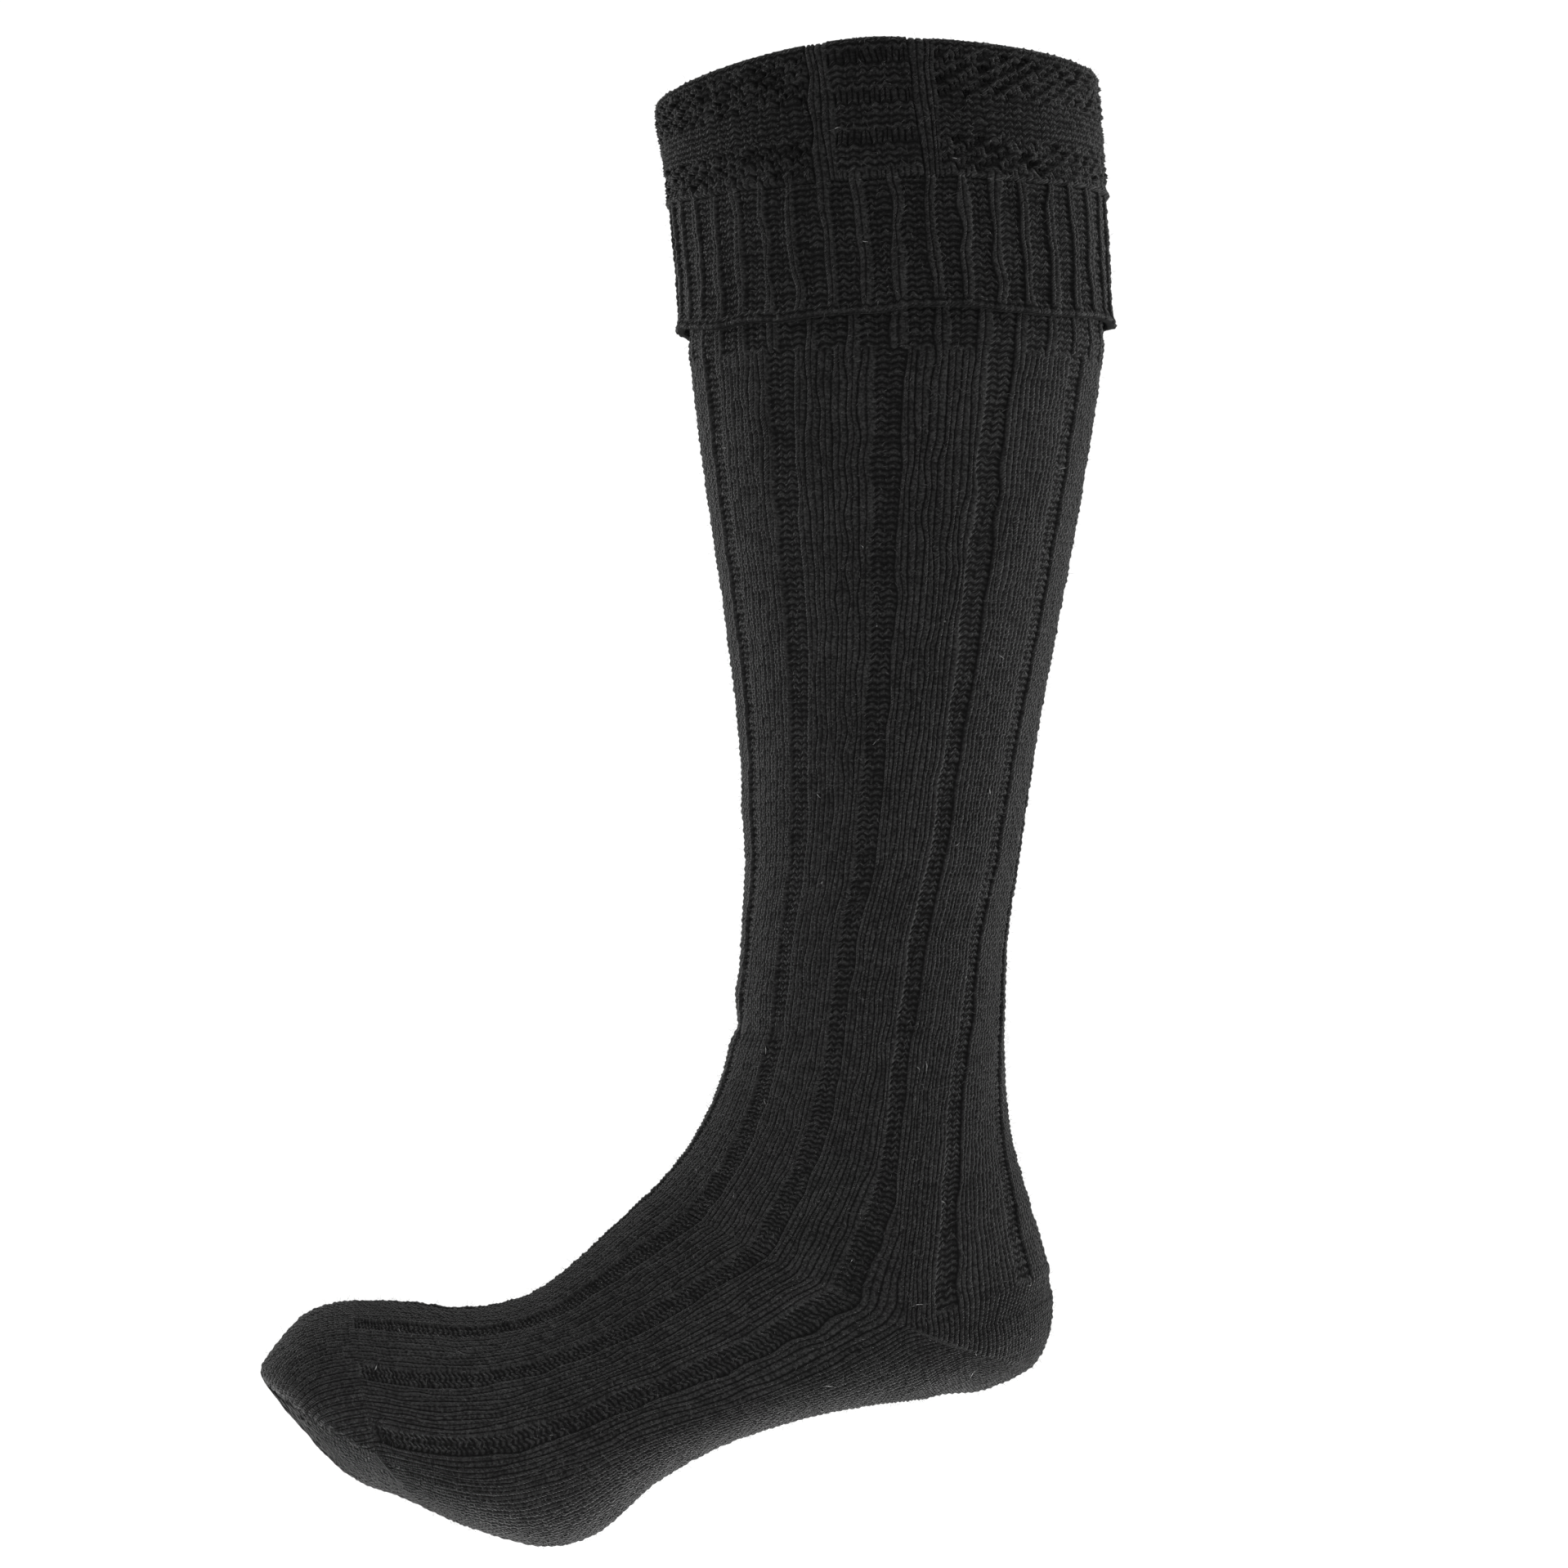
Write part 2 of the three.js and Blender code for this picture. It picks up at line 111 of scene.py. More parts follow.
# top on, top up, side on, side up, under on, under up (shares of FOOT_LENGTH and ANKLE_HEIGHT), width (share
# of FOOT_WIDTH), turn and side turn (degrees)
ANKLE_RINGS = [
    (0.415, 0.923, 0.221, 0.915, 0.061, 0.931, 0.757, 29, 23),
    (0.433, 0.846, 0.21, 0.777, 0.055, 0.807, 0.752, 26, 16),
    (0.46, 0.769, 0.2, 0.638, 0.04, 0.715, 0.752, 23, 8),
    (0.484, 0.723, 0.195, 0.53, 0.022, 0.622, 0.755, 21, 3),
    (0.507, 0.684, 0.19, 0.448, 0.004, 0.533, 0.757, 20, 0),
]
FOOT_RINGS = [
    (0.507, 0.684, 0.19, 0.448, 0.164, 0.284, 0.757, 20, 0),
    (0.557, 0.615, 0.277, 0.376, 0.226, 0.274, 0.75, 18, 0),
    (0.592, 0.565, 0.349, 0.33, 0.298, 0.256, 0.77, 17, 0),
    (0.628, 0.519, 0.422, 0.291, 0.38, 0.22, 0.81, 16, 0),
    (0.664, 0.484, 0.489, 0.26, 0.442, 0.18, 0.85, 15, 0),
    (0.71, 0.464, 0.561, 0.222, 0.504, 0.122, 0.9, 14, 1),
    (0.757, 0.459, 0.628, 0.191, 0.571, 0.034, 0.96, 13, 2),
    (0.803, 0.467, 0.69, 0.176, 0.638, 0.008, 1.0, 12, 3),
    (0.839, 0.471, 0.746, 0.183, 0.721, 0.04, 1.0, 12, 4),
    (0.882, 0.471, 0.836, 0.214, 0.767, 0.07, 0.94, 12, 5),
]
TOE_RINGS = [
    FOOT_RINGS[-1],
    (0.916, 0.464, 0.875, 0.245, 0.819, 0.103, 0.87, 12, 5),
    (0.947, 0.444, 0.911, 0.276, 0.86, 0.122, 0.79, 12, 5),
    (0.973, 0.404, 0.942, 0.299, 0.891, 0.149, 0.67, 12, 5),
    (0.991, 0.368, 0.966, 0.311, 0.927, 0.203, 0.48, 12, 5),
    (1.0, 0.345, 0.984, 0.314, 0.966, 0.265, 0.24, 12, 5),
    (0.997, 0.317, 0.994, 0.315, 0.991, 0.313, 0.02, 12, 5),
]
# The heel's outline behind and below its pivot: on and up, from its first course to its last
HEEL_OUTLINE = [(0.004, 0.533), (0.0, 0.468), (0.006, 0.402), (0.03, 0.343), (0.092, 0.3), (0.164, 0.284)]


# %% Rings as arrays
LEG_BOW = 1.5
FOOT_BOW = 1.0
HALF_WIDTH, BOW, TURN, SIDE_TURN, SOLE = range(6, 11)


def leg_ring(front, side, back, deep, wide, lean, turn, side_turn):
    """One ring: top, side and under point (x, z), half width, bow, turn, side turn, and whether a sole."""
    half = (ANKLE_DEPTH + (CALF_DEPTH - ANKLE_DEPTH) * deep) / 2
    middle = lean * CALF_DEPTH
    half_width = (ANKLE_WIDTH + (CALF_WIDTH - ANKLE_WIDTH) * wide) / 2
    return (middle - half, -front * LEG_LENGTH, middle, -side * LEG_LENGTH, middle + half, -back * LEG_LENGTH,
            half_width, LEG_BOW, turn, side_turn, 0)


def foot_point(on, up):
    """A point of the side view, from shares along the foot and up from the sole."""
    return HEEL_BACK - on * FOOT_LENGTH, SOLE_LEVEL + up * ANKLE_HEIGHT


def foot_ring(sole, top_on, top_up, side_on, side_up, under_on, under_up, wide, turn, side_turn):
    """One ring of the ankle or foot, with the same columns as a ring of the leg."""
    return (*foot_point(top_on, top_up), *foot_point(side_on, side_up), *foot_point(under_on, under_up),
            wide * FOOT_WIDTH / 2, FOOT_BOW, turn, side_turn, sole)


leg_rings = np.array([leg_ring(*row) for row in LEG_RINGS] + [foot_ring(0, *row) for row in ANKLE_RINGS])
foot_rings = np.array([foot_ring(1, *row) for row in FOOT_RINGS])
toe_rings = np.array([foot_ring(1, *row) for row in TOE_RINGS])
print("rings:", len(leg_rings), "leg,", len(foot_rings), "foot,", len(toe_rings), "toe")


# %% From a place on the fabric to a point in space
SOLE_GRADE = 0.3
RING_STEP = 0.02
WALE_STEP = 0.03
ANGLE_STEP = 0.002
TINY = 1e-6
LEAST_NORMAL = 1e-9


def ring_at(rings, t):
    """The rings' columns at places t, smoothed with a cubic that passes through every ring."""
    last = len(rings) - 1
    t = np.clip(t, 0, last)
    i = np.minimum(t.astype(int), last - 1)
    f = (t - i)[:, None]
    a, b, c, d = rings[np.maximum(i - 1, 0)], rings[i], rings[i + 1], rings[np.minimum(i + 2, last)]
    return b + 0.5 * f * (c - a + f * (2 * a - 5 * b + 4 * c - d + f * (3 * b - a - 3 * c + d)))


def sole_angle(ring, wale):
    """The angle of a wale under the foot, where the knit lies closer in the middle than at the sides."""
    away = 2 * QUARTER - np.mod(wale, WALES)
    inward = np.clip(1 - np.abs(away) / QUARTER, 0, 1)
    arc = (1 + SOLE_GRADE) * inward - SOLE_GRADE * inward ** 2
    deep = np.hypot(ring[:, 4] - ring[:, 2], ring[:, 5] - ring[:, 3])
    flatness = (ring[:, HALF_WIDTH] - deep) / (ring[:, HALF_WIDTH] + deep)
    turned = (1 + arc) * math.pi / 2 + flatness / 2 * np.sin(math.pi * (1 - arc))
    return np.where(away > 0, turned, 2 * math.pi - turned)


def angle_of(ring, wale):
    """The angle round the leg, from the front towards -Y, of a wale that winds with the rib."""
    plain = wale / WALES * 2 * math.pi
    plain = np.where((ring[:, SOLE] > 0.5) & (np.cos(plain) < 0), sole_angle(ring, wale), plain)
    share = np.cos(plain) ** 2
    return plain + np.radians(ring[:, TURN] * share + ring[:, SIDE_TURN] * (1 - share))


def skin(rings, t, where, by_angle=False):
    """Points of the plain surface, in millimetres, at places t and wales (or angles) where."""
    ring = ring_at(rings, t)
    angle = where if by_angle else angle_of(ring, where)
    reach = np.cos(angle)
    end = np.where((reach > 0)[:, None], ring[:, 0:2], ring[:, 4:6])
    bow = np.abs(reach) ** ring[:, BOW]
    x = ring[:, 2] + (end[:, 0] - ring[:, 2]) * np.abs(reach)
    z = ring[:, 3] + (end[:, 1] - ring[:, 3]) * bow
    return np.stack([x, -ring[:, HALF_WIDTH] * np.sin(angle), z], axis=1)


def raised(rings, t, where, out, by_angle=False):
    """The same, moved out along the surface's normal by a distance."""
    spread = ANGLE_STEP if by_angle else WALE_STEP
    along = skin(rings, t + RING_STEP, where, by_angle) - skin(rings, t - RING_STEP, where, by_angle)
    around = skin(rings, t, where + spread, by_angle) - skin(rings, t, where - spread, by_angle)
    normal = np.cross(along, around)
    normal /= np.maximum(np.linalg.norm(normal, axis=1), LEAST_NORMAL)[:, None]
    return skin(rings, t, where, by_angle) + normal * out[:, None]


def side_line(rings):
    """Places along the rings and how far down the side line they lie, in millimetres."""
    t = np.linspace(0, len(rings) - 1, 40 * len(rings))
    side = ring_at(rings, t)[:, 2:4]
    length = np.concatenate([[0], np.cumsum(np.linalg.norm(np.diff(side, axis=0), axis=1))])
    return t, length


leg_line = side_line(leg_rings)
foot_line = side_line(foot_rings)
toe_line = side_line(toe_rings)
for line_name, line in (("leg", leg_line), ("foot", foot_line), ("toe", toe_line)):
    print("side line of the %s: %.0f mm" % (line_name, line[1][-1]))

# %% [markdown]
# ## One stitch
#
# A knit stitch shows the two legs of its loop, which stand up as two cords with a groove on each side. A
# purl stitch shows the heads of its loops, which run on from stitch to stitch as one wavy ridge. Both could
# be swept as real yarn, but a hose has tens of thousands of stitches. Six columns of faces across a stitch
# and two rows up it are enough for both, if the columns stand where the yarn turns. The tables below say
# how high the yarn stands at each column, on the row between two courses (crease) and on the row through a
# course (crown).

# %% The relief of a stitch
COLUMNS = 6
COLUMN_AT = np.array([0.0, 0.14, 0.37, 0.5, 0.63, 0.86])
KNIT_CREASE = np.array([0.0, 0.58, 0.62, 0.12, 0.62, 0.58])
KNIT_CROWN = np.array([0.1, 0.94, 1.0, 0.22, 1.0, 0.94])
PURL_CREASE = np.array([0.14, 0.05, 0.1, 0.14, 0.1, 0.05])
PURL_CROWN = np.array([1.1, 0.62, 0.8, 1.1, 0.8, 0.62])
KNIT_V = np.array([0.0, 0.12, 0.36, 0.5, 0.36, 0.12])
PURL_WAVE = np.array([0.0, 0.05, 0.3, 0.36, 0.3, 0.05])
STITCH_RELIEF = 1.0
EVEN_SHARE = 0.86
UNEVEN_SHARE = 0.28
HIGHEST_YARN = 1.15
WAVE_UNEVEN = 0.5
SHARED_CROWN = 0.5
YARN_WANDER = 0.22
WANDER_COURSES = 4
# Each use of the table of random numbers reads it from a place of its own
NOISE_SEED = 1746
NOISE_SIZE = (256, 512)
RIPPLE_NOISE, MOSS_NOISE, WANDER_NOISE, CUFF_NOISE = 7, 11, 31, 61

NOISE = np.random.default_rng(NOISE_SEED).uniform(-1, 1, size=NOISE_SIZE)


def jitter_at(wale, course):
    """A fixed random number from -1 to 1 for each stitch."""
    return NOISE[np.mod(wale, NOISE_SIZE[0]).astype(int), np.mod(course, NOISE_SIZE[1]).astype(int)]


def eased(f):
    """A share from 0 to 1 that starts and ends slowly."""
    return f * f * (3 - 2 * f)


def wander_at(wale, course, count):
    """How far the yarn strays sideways, in wales: a random line for each of count wales, blended between."""
    knot = np.floor(course / WANDER_COURSES)
    f = eased(course / WANDER_COURSES - knot)
    near = np.floor(wale)
    lines = []
    for number in (near, near + 1):
        line = np.mod(number, count) + WANDER_NOISE
        lines.append((1 - f) * jitter_at(line, knot) + f * jitter_at(line, knot + 1))
    return YARN_WANDER * (lines[0] + (wale - near) * (lines[1] - lines[0]))


def yarn(knit, crown, column, jitter):
    """How high the yarn stands in its stitch, from 0 in the groove to 1 on top."""
    knit_high = KNIT_CREASE[column] + crown * (KNIT_CROWN - KNIT_CREASE)[column]
    purl_high = PURL_CREASE[column] + crown * (PURL_CROWN - PURL_CREASE)[column]
    thickness = EVEN_SHARE + UNEVEN_SHARE * jitter
    return np.clip(np.where(knit, knit_high, purl_high) * thickness, 0, HIGHEST_YARN)


def lifted(knit, column, jitter):
    """How far up the fabric the yarn runs at a column, in courses: a knit stitch's V, a purl one's wave."""
    return np.where(knit, KNIT_V[column], PURL_WAVE[column] * (1 + WAVE_UNEVEN * jitter))


# %% [markdown]
# ## From grid to fabric
#
# Every piece is one grid from bmesh.ops.create_grid. It starts flat, so each point's column and row can be
# read from its place, and a function then says where the point belongs. Points that meet are merged, which
# closes the tube. The faces are split along their shorter diagonal, because that follows the yarn, and the
# rows at a cut end stay sharp.

# %% A grid that becomes fabric
MERGE_MM = 0.02
LEAST_EDGE_MM = 0.002


def fabric(name, wales, rows, rims, place, course):
    """A closed piece of wales * COLUMNS by rows faces. place(i, j) gives the points and the yarn's height."""
    bm = bmesh.new()
    bmesh.ops.create_grid(bm, x_segments=wales * COLUMNS, y_segments=rows, size=0.5)
    mesh = bpy.data.meshes.new(name)
    bm.to_mesh(mesh)
    bm.free()
    flat = np.empty(len(mesh.vertices) * 3)
    mesh.vertices.foreach_get("co", flat)
    flat = flat.reshape(-1, 3)
    i = np.rint((flat[:, 0] + 0.5) * wales * COLUMNS).astype(int)
    j = np.rint((flat[:, 1] + 0.5) * rows).astype(int)
    points, high = place(i, j)
    mesh.vertices.foreach_set("co", (points * MM).ravel())
    # The yarn's height is also the mask by which the material paints shade into the grooves
    mesh.attributes.new("yarn_height_and_shade", "FLOAT", "POINT").data.foreach_set("value", high)
    mesh.attributes.new("rim", "INT", "POINT").data.foreach_set("value", np.isin(j, rims).astype(int))
    corners = np.empty(len(mesh.loops), dtype=int)
    mesh.loops.foreach_get("vertex_index", corners)
    uv = np.stack([i[corners] / COLUMNS, course[j[corners]]], axis=1)
    mesh.uv_layers.new(name="stitches").data.foreach_set("uv", uv.ravel())
    bm = bmesh.new()
    bm.from_mesh(mesh)
    bmesh.ops.remove_doubles(bm, verts=bm.verts[:], dist=MERGE_MM * MM)
    bmesh.ops.dissolve_degenerate(bm, edges=bm.edges[:], dist=LEAST_EDGE_MM * MM)
    loose = [edge for edge in bm.edges if not edge.link_faces]
    bmesh.ops.delete(bm, geom=loose, context="EDGES")
    bmesh.ops.triangulate(bm, faces=bm.faces[:], quad_method="SHORT_EDGE")
    if bm.calc_volume(signed=True) < 0:
        bmesh.ops.reverse_faces(bm, faces=bm.faces[:])
    open_edges = sum(1 for edge in bm.edges if len(edge.link_faces) != 2)
    bm.to_mesh(mesh)
    bm.free()
    mesh.shade_smooth()
    rim = np.empty(len(mesh.vertices), dtype=int)
    mesh.attributes["rim"].data.foreach_get("value", rim)
    ends = np.empty(len(mesh.edges) * 2, dtype=int)
    mesh.edges.foreach_get("vertices", ends)
    sharp = rim[ends].reshape(-1, 2).all(axis=1)
    mesh.attributes.new("sharp_edge", "BOOLEAN", "EDGE").data.foreach_set("value", sharp)
    mesh.update()
    piece = bpy.data.objects.new(name, mesh)
    bpy.context.scene.collection.objects.link(piece)
    print(name, len(mesh.polygons), "triangles,", open_edges, "open edges")
    return piece


# %% [markdown]
# ## Rows of a tube
#
# A tube's grid runs down the outside, round the edge and back up the inside, so that the wall is closed
# without bridging. The outside has two rows a course. The inside, which only shows down the leg's mouth,
# has far fewer. Where two pieces meet they share the same last row, point for point, so that no seam shows
# between them.

# %% Tubes of stitches
CHANNEL_MOUTH = 1.2
CHANNEL_SLOPE = 0.45
EASE_COURSES = 2


def out_and_back(outer, inner):
    """Places down the outside, up the inside and at the first place again, and which of them are inside."""
    places = np.concatenate([outer, inner, outer[:1]])
    inside = np.arange(len(places)) >= len(outer)
    inside[-1] = False
    return places, inside


# Soft folds at the front of the leg: mm down the side line, degrees from the front, their sizes, height in mm
FOLDS = [
    (244.0, 0.0, 7.0, 40.0, 0.6),
    (304.0, 2.0, 5.0, 40.0, 0.9),
    (315.0, 8.0, 3.0, 45.0, -1.0),
    (322.0, 10.0, 4.5, 45.0, 0.4),
]


def folds(along, angle):
    """How far the folds of the worn leg lift the knit."""
    degrees = np.mod(np.degrees(angle) + 180, 360) - 180
    lift = np.zeros(len(along))
    for place, middle, size, spread, height in FOLDS:
        lift += height * np.exp(-((along - place) / size) ** 2 - ((degrees - middle) / spread) ** 2)
    return lift


def channel(wale):
    """How deep a purl channel lies at a wale, from 0 on the knit panel to 1 on the floor."""
    away = np.abs(np.mod(wale, REPEAT_WALES) - REPEAT_WALES / 2)
    return np.clip((CHANNEL_MOUTH - away) / CHANNEL_SLOPE, 0, 1)


def in_wide_rib(wale):
    """Whether a wale is one of the six knit ones of a repeat: the two in its middle are purl."""
    return ~np.isin(wale % REPEAT_WALES, (REPEAT_WALES // 2 - 1, REPEAT_WALES // 2))


def on_front(wale):
    """Whether a wale is on the front half, which becomes the instep."""
    return np.abs(np.mod(wale + WALES / 2, WALES) - WALES / 2) < QUARTER


def knit_tube(name, rings, line, total, before, first, last, is_knit, recess, faded, inner_rows=6):
    """A tube of stitches on rings, from one course of total to another, after the courses before it."""
    outer = np.arange(2 * first, 2 * last + 1) / 2
    course, inside = out_and_back(outer, np.linspace(last, first, inner_rows))
    rims = [0, len(outer) - 1, len(outer), len(course) - 2, len(course) - 1]
    along = course / total * line[1][-1]
    ease = np.ones(len(course))
    if faded[0]:
        ease = np.minimum(ease, np.clip(course / EASE_COURSES, 0, 1))
    if faded[1]:
        ease = np.minimum(ease, np.clip((total - course) / EASE_COURSES, 0, 1))

    def place(i, j):
        column = i % COLUMNS
        number = (i // COLUMNS) % WALES
        wale = i // COLUMNS + COLUMN_AT[column]
        whole = np.floor(course[j])
        crown = np.where(ease[j] == 0, SHARED_CROWN, course[j] != whole)
        knit = is_knit(number, whole)
        jitter = jitter_at(number, whole + before)
        high = yarn(knit, crown, column, jitter)
        slant = lifted(knit, column, jitter) * ~inside[j] * COURSE * ease[j]
        sunk = recess(wale, course[j])
        out = np.where(inside[j], -LEG_WALL, STITCH_RELIEF * (high - 1) - sunk)
        wander = wander_at(wale, course[j] + before, WALES) * ease[j] * ~inside[j]
        t = np.interp(along[j] - slant, line[1], line[0])
        if before == 0:
            out = out + folds(along[j], angle_of(ring_at(rings, t), wale))
        points = raised(rings, t, wale + wander, out)
        return points, high

    return fabric(name, WALES, len(course) - 1, rims, place, course + before)


# %% [markdown]
# ## The leg
#
# Knit six, purl two, twelve times round. The purl wales sink between the knit ones, which makes the
# channels. Just under the hem a few courses of the finer rib still show. The leg is cut into three pieces
# between two courses, so that each stays light enough, and the part under the cuff has no stitches at all.

# %% Leg stitches
FINE_REPEAT = 3
FINE_RIB_RECESS = 0.4
FINE_RIB_EDGE = 0.02
LEG_COURSES = round(leg_line[1][-1] / COURSE)
FOOT_COURSES = round(foot_line[1][-1] / COURSE)
HEM_COURSE = round(CUFF_DEPTH / COURSE)
FINE_RIB_COURSES = 6
COURSES_UNDER_HEM = 4


def leg_is_knit(wale, course):
    """Knit or purl on the leg: the fine rib, the wide rib, and plain where the heel begins."""
    heel_edge = (course >= LEG_COURSES) & ~on_front(wale + 0.5)
    fine = wale % FINE_REPEAT == 0
    return np.where(course < HEM_COURSE + FINE_RIB_COURSES, fine, in_wide_rib(wale) | heel_edge)


def leg_recess(wale, course):
    """How far the leg's purl wales sink. The back channels run out where the heel begins."""
    place = np.mod(wale, FINE_REPEAT)
    fine = FINE_RIB_RECESS * (place > 1 + FINE_RIB_EDGE) * (place < FINE_REPEAT - FINE_RIB_EDGE)
    run_out = np.where(on_front(wale), 1, np.clip((LEG_COURSES - course) / EASE_COURSES, 0, 1))
    return np.where(course < HEM_COURSE + FINE_RIB_COURSES, fine, LEG_RECESS * channel(wale) * run_out)


leg_cuts = np.rint(np.linspace(HEM_COURSE - COURSES_UNDER_HEM, LEG_COURSES, 4)).astype(int)
leg_names = ("leg_knit_upper", "leg_knit_middle", "leg_knit_lower")
leg_pieces = []
for part_name, first, last in zip(leg_names, leg_cuts[:-1], leg_cuts[1:]):
    leg_pieces.append(knit_tube(part_name, leg_rings, leg_line, LEG_COURSES, 0, first, last, leg_is_knit,
                                leg_recess, (False, True)))

# %% The plain wall under the cuff
FOLD_RADIUS = CUFF_GAP / 2 + CUFF_WALL
WALL_BELOW_FOLD = 0.2
WALL_ROWS = (25.0, 50.0)
INSIDE_RELIEF = 0.5
INSIDE_ROWS = 10


def hidden_wall():
    """The leg's wall between the fold and the first course that shows."""
    top = FOLD_RADIUS + WALL_BELOW_FOLD
    low = leg_cuts[0] / LEG_COURSES * leg_line[1][-1]
    along, inside = out_and_back(np.array([top, *WALL_ROWS, low]), np.linspace(low, top, INSIDE_ROWS))

    def place(i, j):
        column = i % COLUMNS
        wale = i // COLUMNS + COLUMN_AT[column]
        out = np.where(inside[j], INSIDE_RELIEF * KNIT_CROWN[column] - LEG_WALL, -INSIDE_RELIEF)
        t = np.interp(along[j], leg_line[1], leg_line[0])
        return raised(leg_rings, t, wale, out), KNIT_CROWN[column]

    return fabric("leg_wall_under_cuff", WALES, len(along) - 1, [], place, along / COURSE)


leg_pieces.append(hidden_wall())

# %% [markdown]
# ## The foot
#
# The instep carries the leg's rib on to the toe, and the sole is plain stockinette. The foot is cut in two
# for the same reason as the leg.

# %% Foot stitches
def foot_is_knit(wale, course):
    """Rib over the instep, plain on the sole and at the toe's first course."""
    return in_wide_rib(wale) | ~on_front(wale + 0.5) | (course >= FOOT_COURSES)


def foot_recess(wale, course):
    """The instep's channels, which run out at the toe."""
    run_out = np.clip((FOOT_COURSES - course) / EASE_COURSES, 0, 1)
    return LEG_RECESS * channel(wale) * on_front(wale) * run_out


foot_pieces = []
foot_cuts = (0, FOOT_COURSES // 2, FOOT_COURSES)
for part_name, first, last in zip(("foot_knit_back", "foot_knit_front"), foot_cuts[:-1], foot_cuts[1:]):
    foot_pieces.append(knit_tube(part_name, foot_rings, foot_line, FOOT_COURSES, LEG_COURSES, first, last,
                                 foot_is_knit, foot_recess, (True, True)))

# %% [markdown]
# ## The toe
#
# Plain stockinette that narrows to a blunt end. The toe is shaped by decreases at both sides: its wales
# keep their width and stay side by side, and one after another they end on the line where the instep's half
# meets the sole's. So each column keeps its distance from the middle of its half, until it reaches that
# line and stays there.

# %% Toe stitches
TOE_COURSES = round(toe_line[1][-1] / COURSE)
TOE_TIP = (0.994, 0.315)
TIP_SUNK = 0.3
TIP_WALLS = 2
TOE_INSIDE_SHARE = 0.8
TOE_INSIDE_ROWS = 7
TOE_LINE_HEIGHT = 0.35
ARC_STEPS = 24


def quarter_arcs(rings):
    """Arc lengths of the upper and the under quarter of a section, for places along the rings."""
    places = np.linspace(0, len(rings) - 1, 8 * len(rings))
    arcs = []
    for first, last in ((0, QUARTER), (QUARTER, 2 * QUARTER)):
        wales = np.linspace(first, last, ARC_STEPS + 1)
        lines = np.stack([skin(rings, places, np.full(len(places), one)) for one in wales])
        arcs.append(np.linalg.norm(np.diff(lines, axis=0), axis=2).sum(axis=0))
    return places, arcs[0], arcs[1]


def toe():
    """The toe: courses to the tip on the outside, a few rings on the inside."""
    outer = np.arange(0, 2 * TOE_COURSES + 1) / 2
    course, inside = out_and_back(outer, np.linspace(TOE_COURSES * TOE_INSIDE_SHARE, 0, TOE_INSIDE_ROWS))
    rims = [0, len(course) - 2, len(course) - 1]
    places, upper, under = quarter_arcs(toe_rings)
    tip = foot_point(*TOE_TIP)

    def place(i, j):
        column = i % COLUMNS
        number = (i // COLUMNS) % WALES
        wale = i // COLUMNS + COLUMN_AT[column]
        whole = np.floor(course[j])
        t_row = np.interp(course[j] / TOE_COURSES * toe_line[1][-1], toe_line[1], toe_line[0])
        upper_room = np.interp(t_row, places, upper) / upper[0] * QUARTER
        under_room = np.interp(t_row, places, under) / under[0] * QUARTER
        front = on_front(wale)
        middle = np.where(front, 0, 2 * QUARTER)
        away = np.mod(wale - middle + WALES / 2, WALES) - WALES / 2
        room = np.where(front, upper_room, under_room)
        ended = np.abs(away) >= room - TINY
        narrowed = middle + np.sign(away) * QUARTER * np.minimum(np.abs(away) / np.maximum(room, TINY), 1)
        crown = np.where(course[j] == 0, SHARED_CROWN, course[j] != whole)
        high = yarn(True, crown, column, jitter_at(number, whole + LEG_COURSES + FOOT_COURSES))
        high = np.where(ended, TOE_LINE_HEIGHT, high)
        ease = np.clip(course[j] / EASE_COURSES, 0, 1)
        slant = np.where(inside[j] | ended, 0, KNIT_V[column]) * COURSE * ease
        out = np.where(inside[j], -LEG_WALL, STITCH_RELIEF * (high - 1))
        t = np.interp(course[j] / TOE_COURSES * toe_line[1][-1] - slant, toe_line[1], toe_line[0])
        points = raised(toe_rings, t, narrowed, out)
        points[j == len(outer) - 1] = (tip[0] - TIP_SUNK, 0, tip[1])
        points[j == len(outer)] = (tip[0] + TIP_WALLS * LEG_WALL, 0, tip[1])
        return points, high

    return fabric("toe_knit", WALES, len(course) - 1, rims, place, course + LEG_COURSES + FOOT_COURSES)


toe_piece = toe()

# %% [markdown]
# ## The heel
#
# A turned heel is a pocket of short rows. Its courses shorten towards one point at each side of the ankle
# and lengthen again, and the two halves meet along a slanting line, the gore. So its grid has a column for
# each wale from side to side. The courses of the upper half stay parallel to the end of the leg, those of
# the lower half to the start of the sole, and each column stops where it meets the gore. Rows past that
# point fall together and are merged.

# %% The heel's side view
# The pivot is the side point that the ankle's last ring and the foot's first ring share
heel_pivot = foot_rings[0, 2:4]
heel_line = np.array([foot_point(on, up) for on, up in HEEL_OUTLINE])
HEEL_STEPS = 240
CURVE_STEPS = 400
GORE_SHARE = 0.47
GORE_TRIES = 160
GORE_OVERSHOOT = 1.05
PATH_POWER = 3
HEEL_HALF_WIDTH = foot_rings[0, HALF_WIDTH]


def dense(points, count):
    """The points of a smooth curve through a few points, evenly spaced, and its length."""
    curve = ring_at(points, np.linspace(0, len(points) - 1, CURVE_STEPS))
    length = np.concatenate([[0], np.cumsum(np.linalg.norm(np.diff(curve, axis=0), axis=1))])
    even = np.linspace(0, length[-1], count)
    return np.stack([np.interp(even, length, curve[:, k]) for k in (0, 1)], axis=1), length[-1]


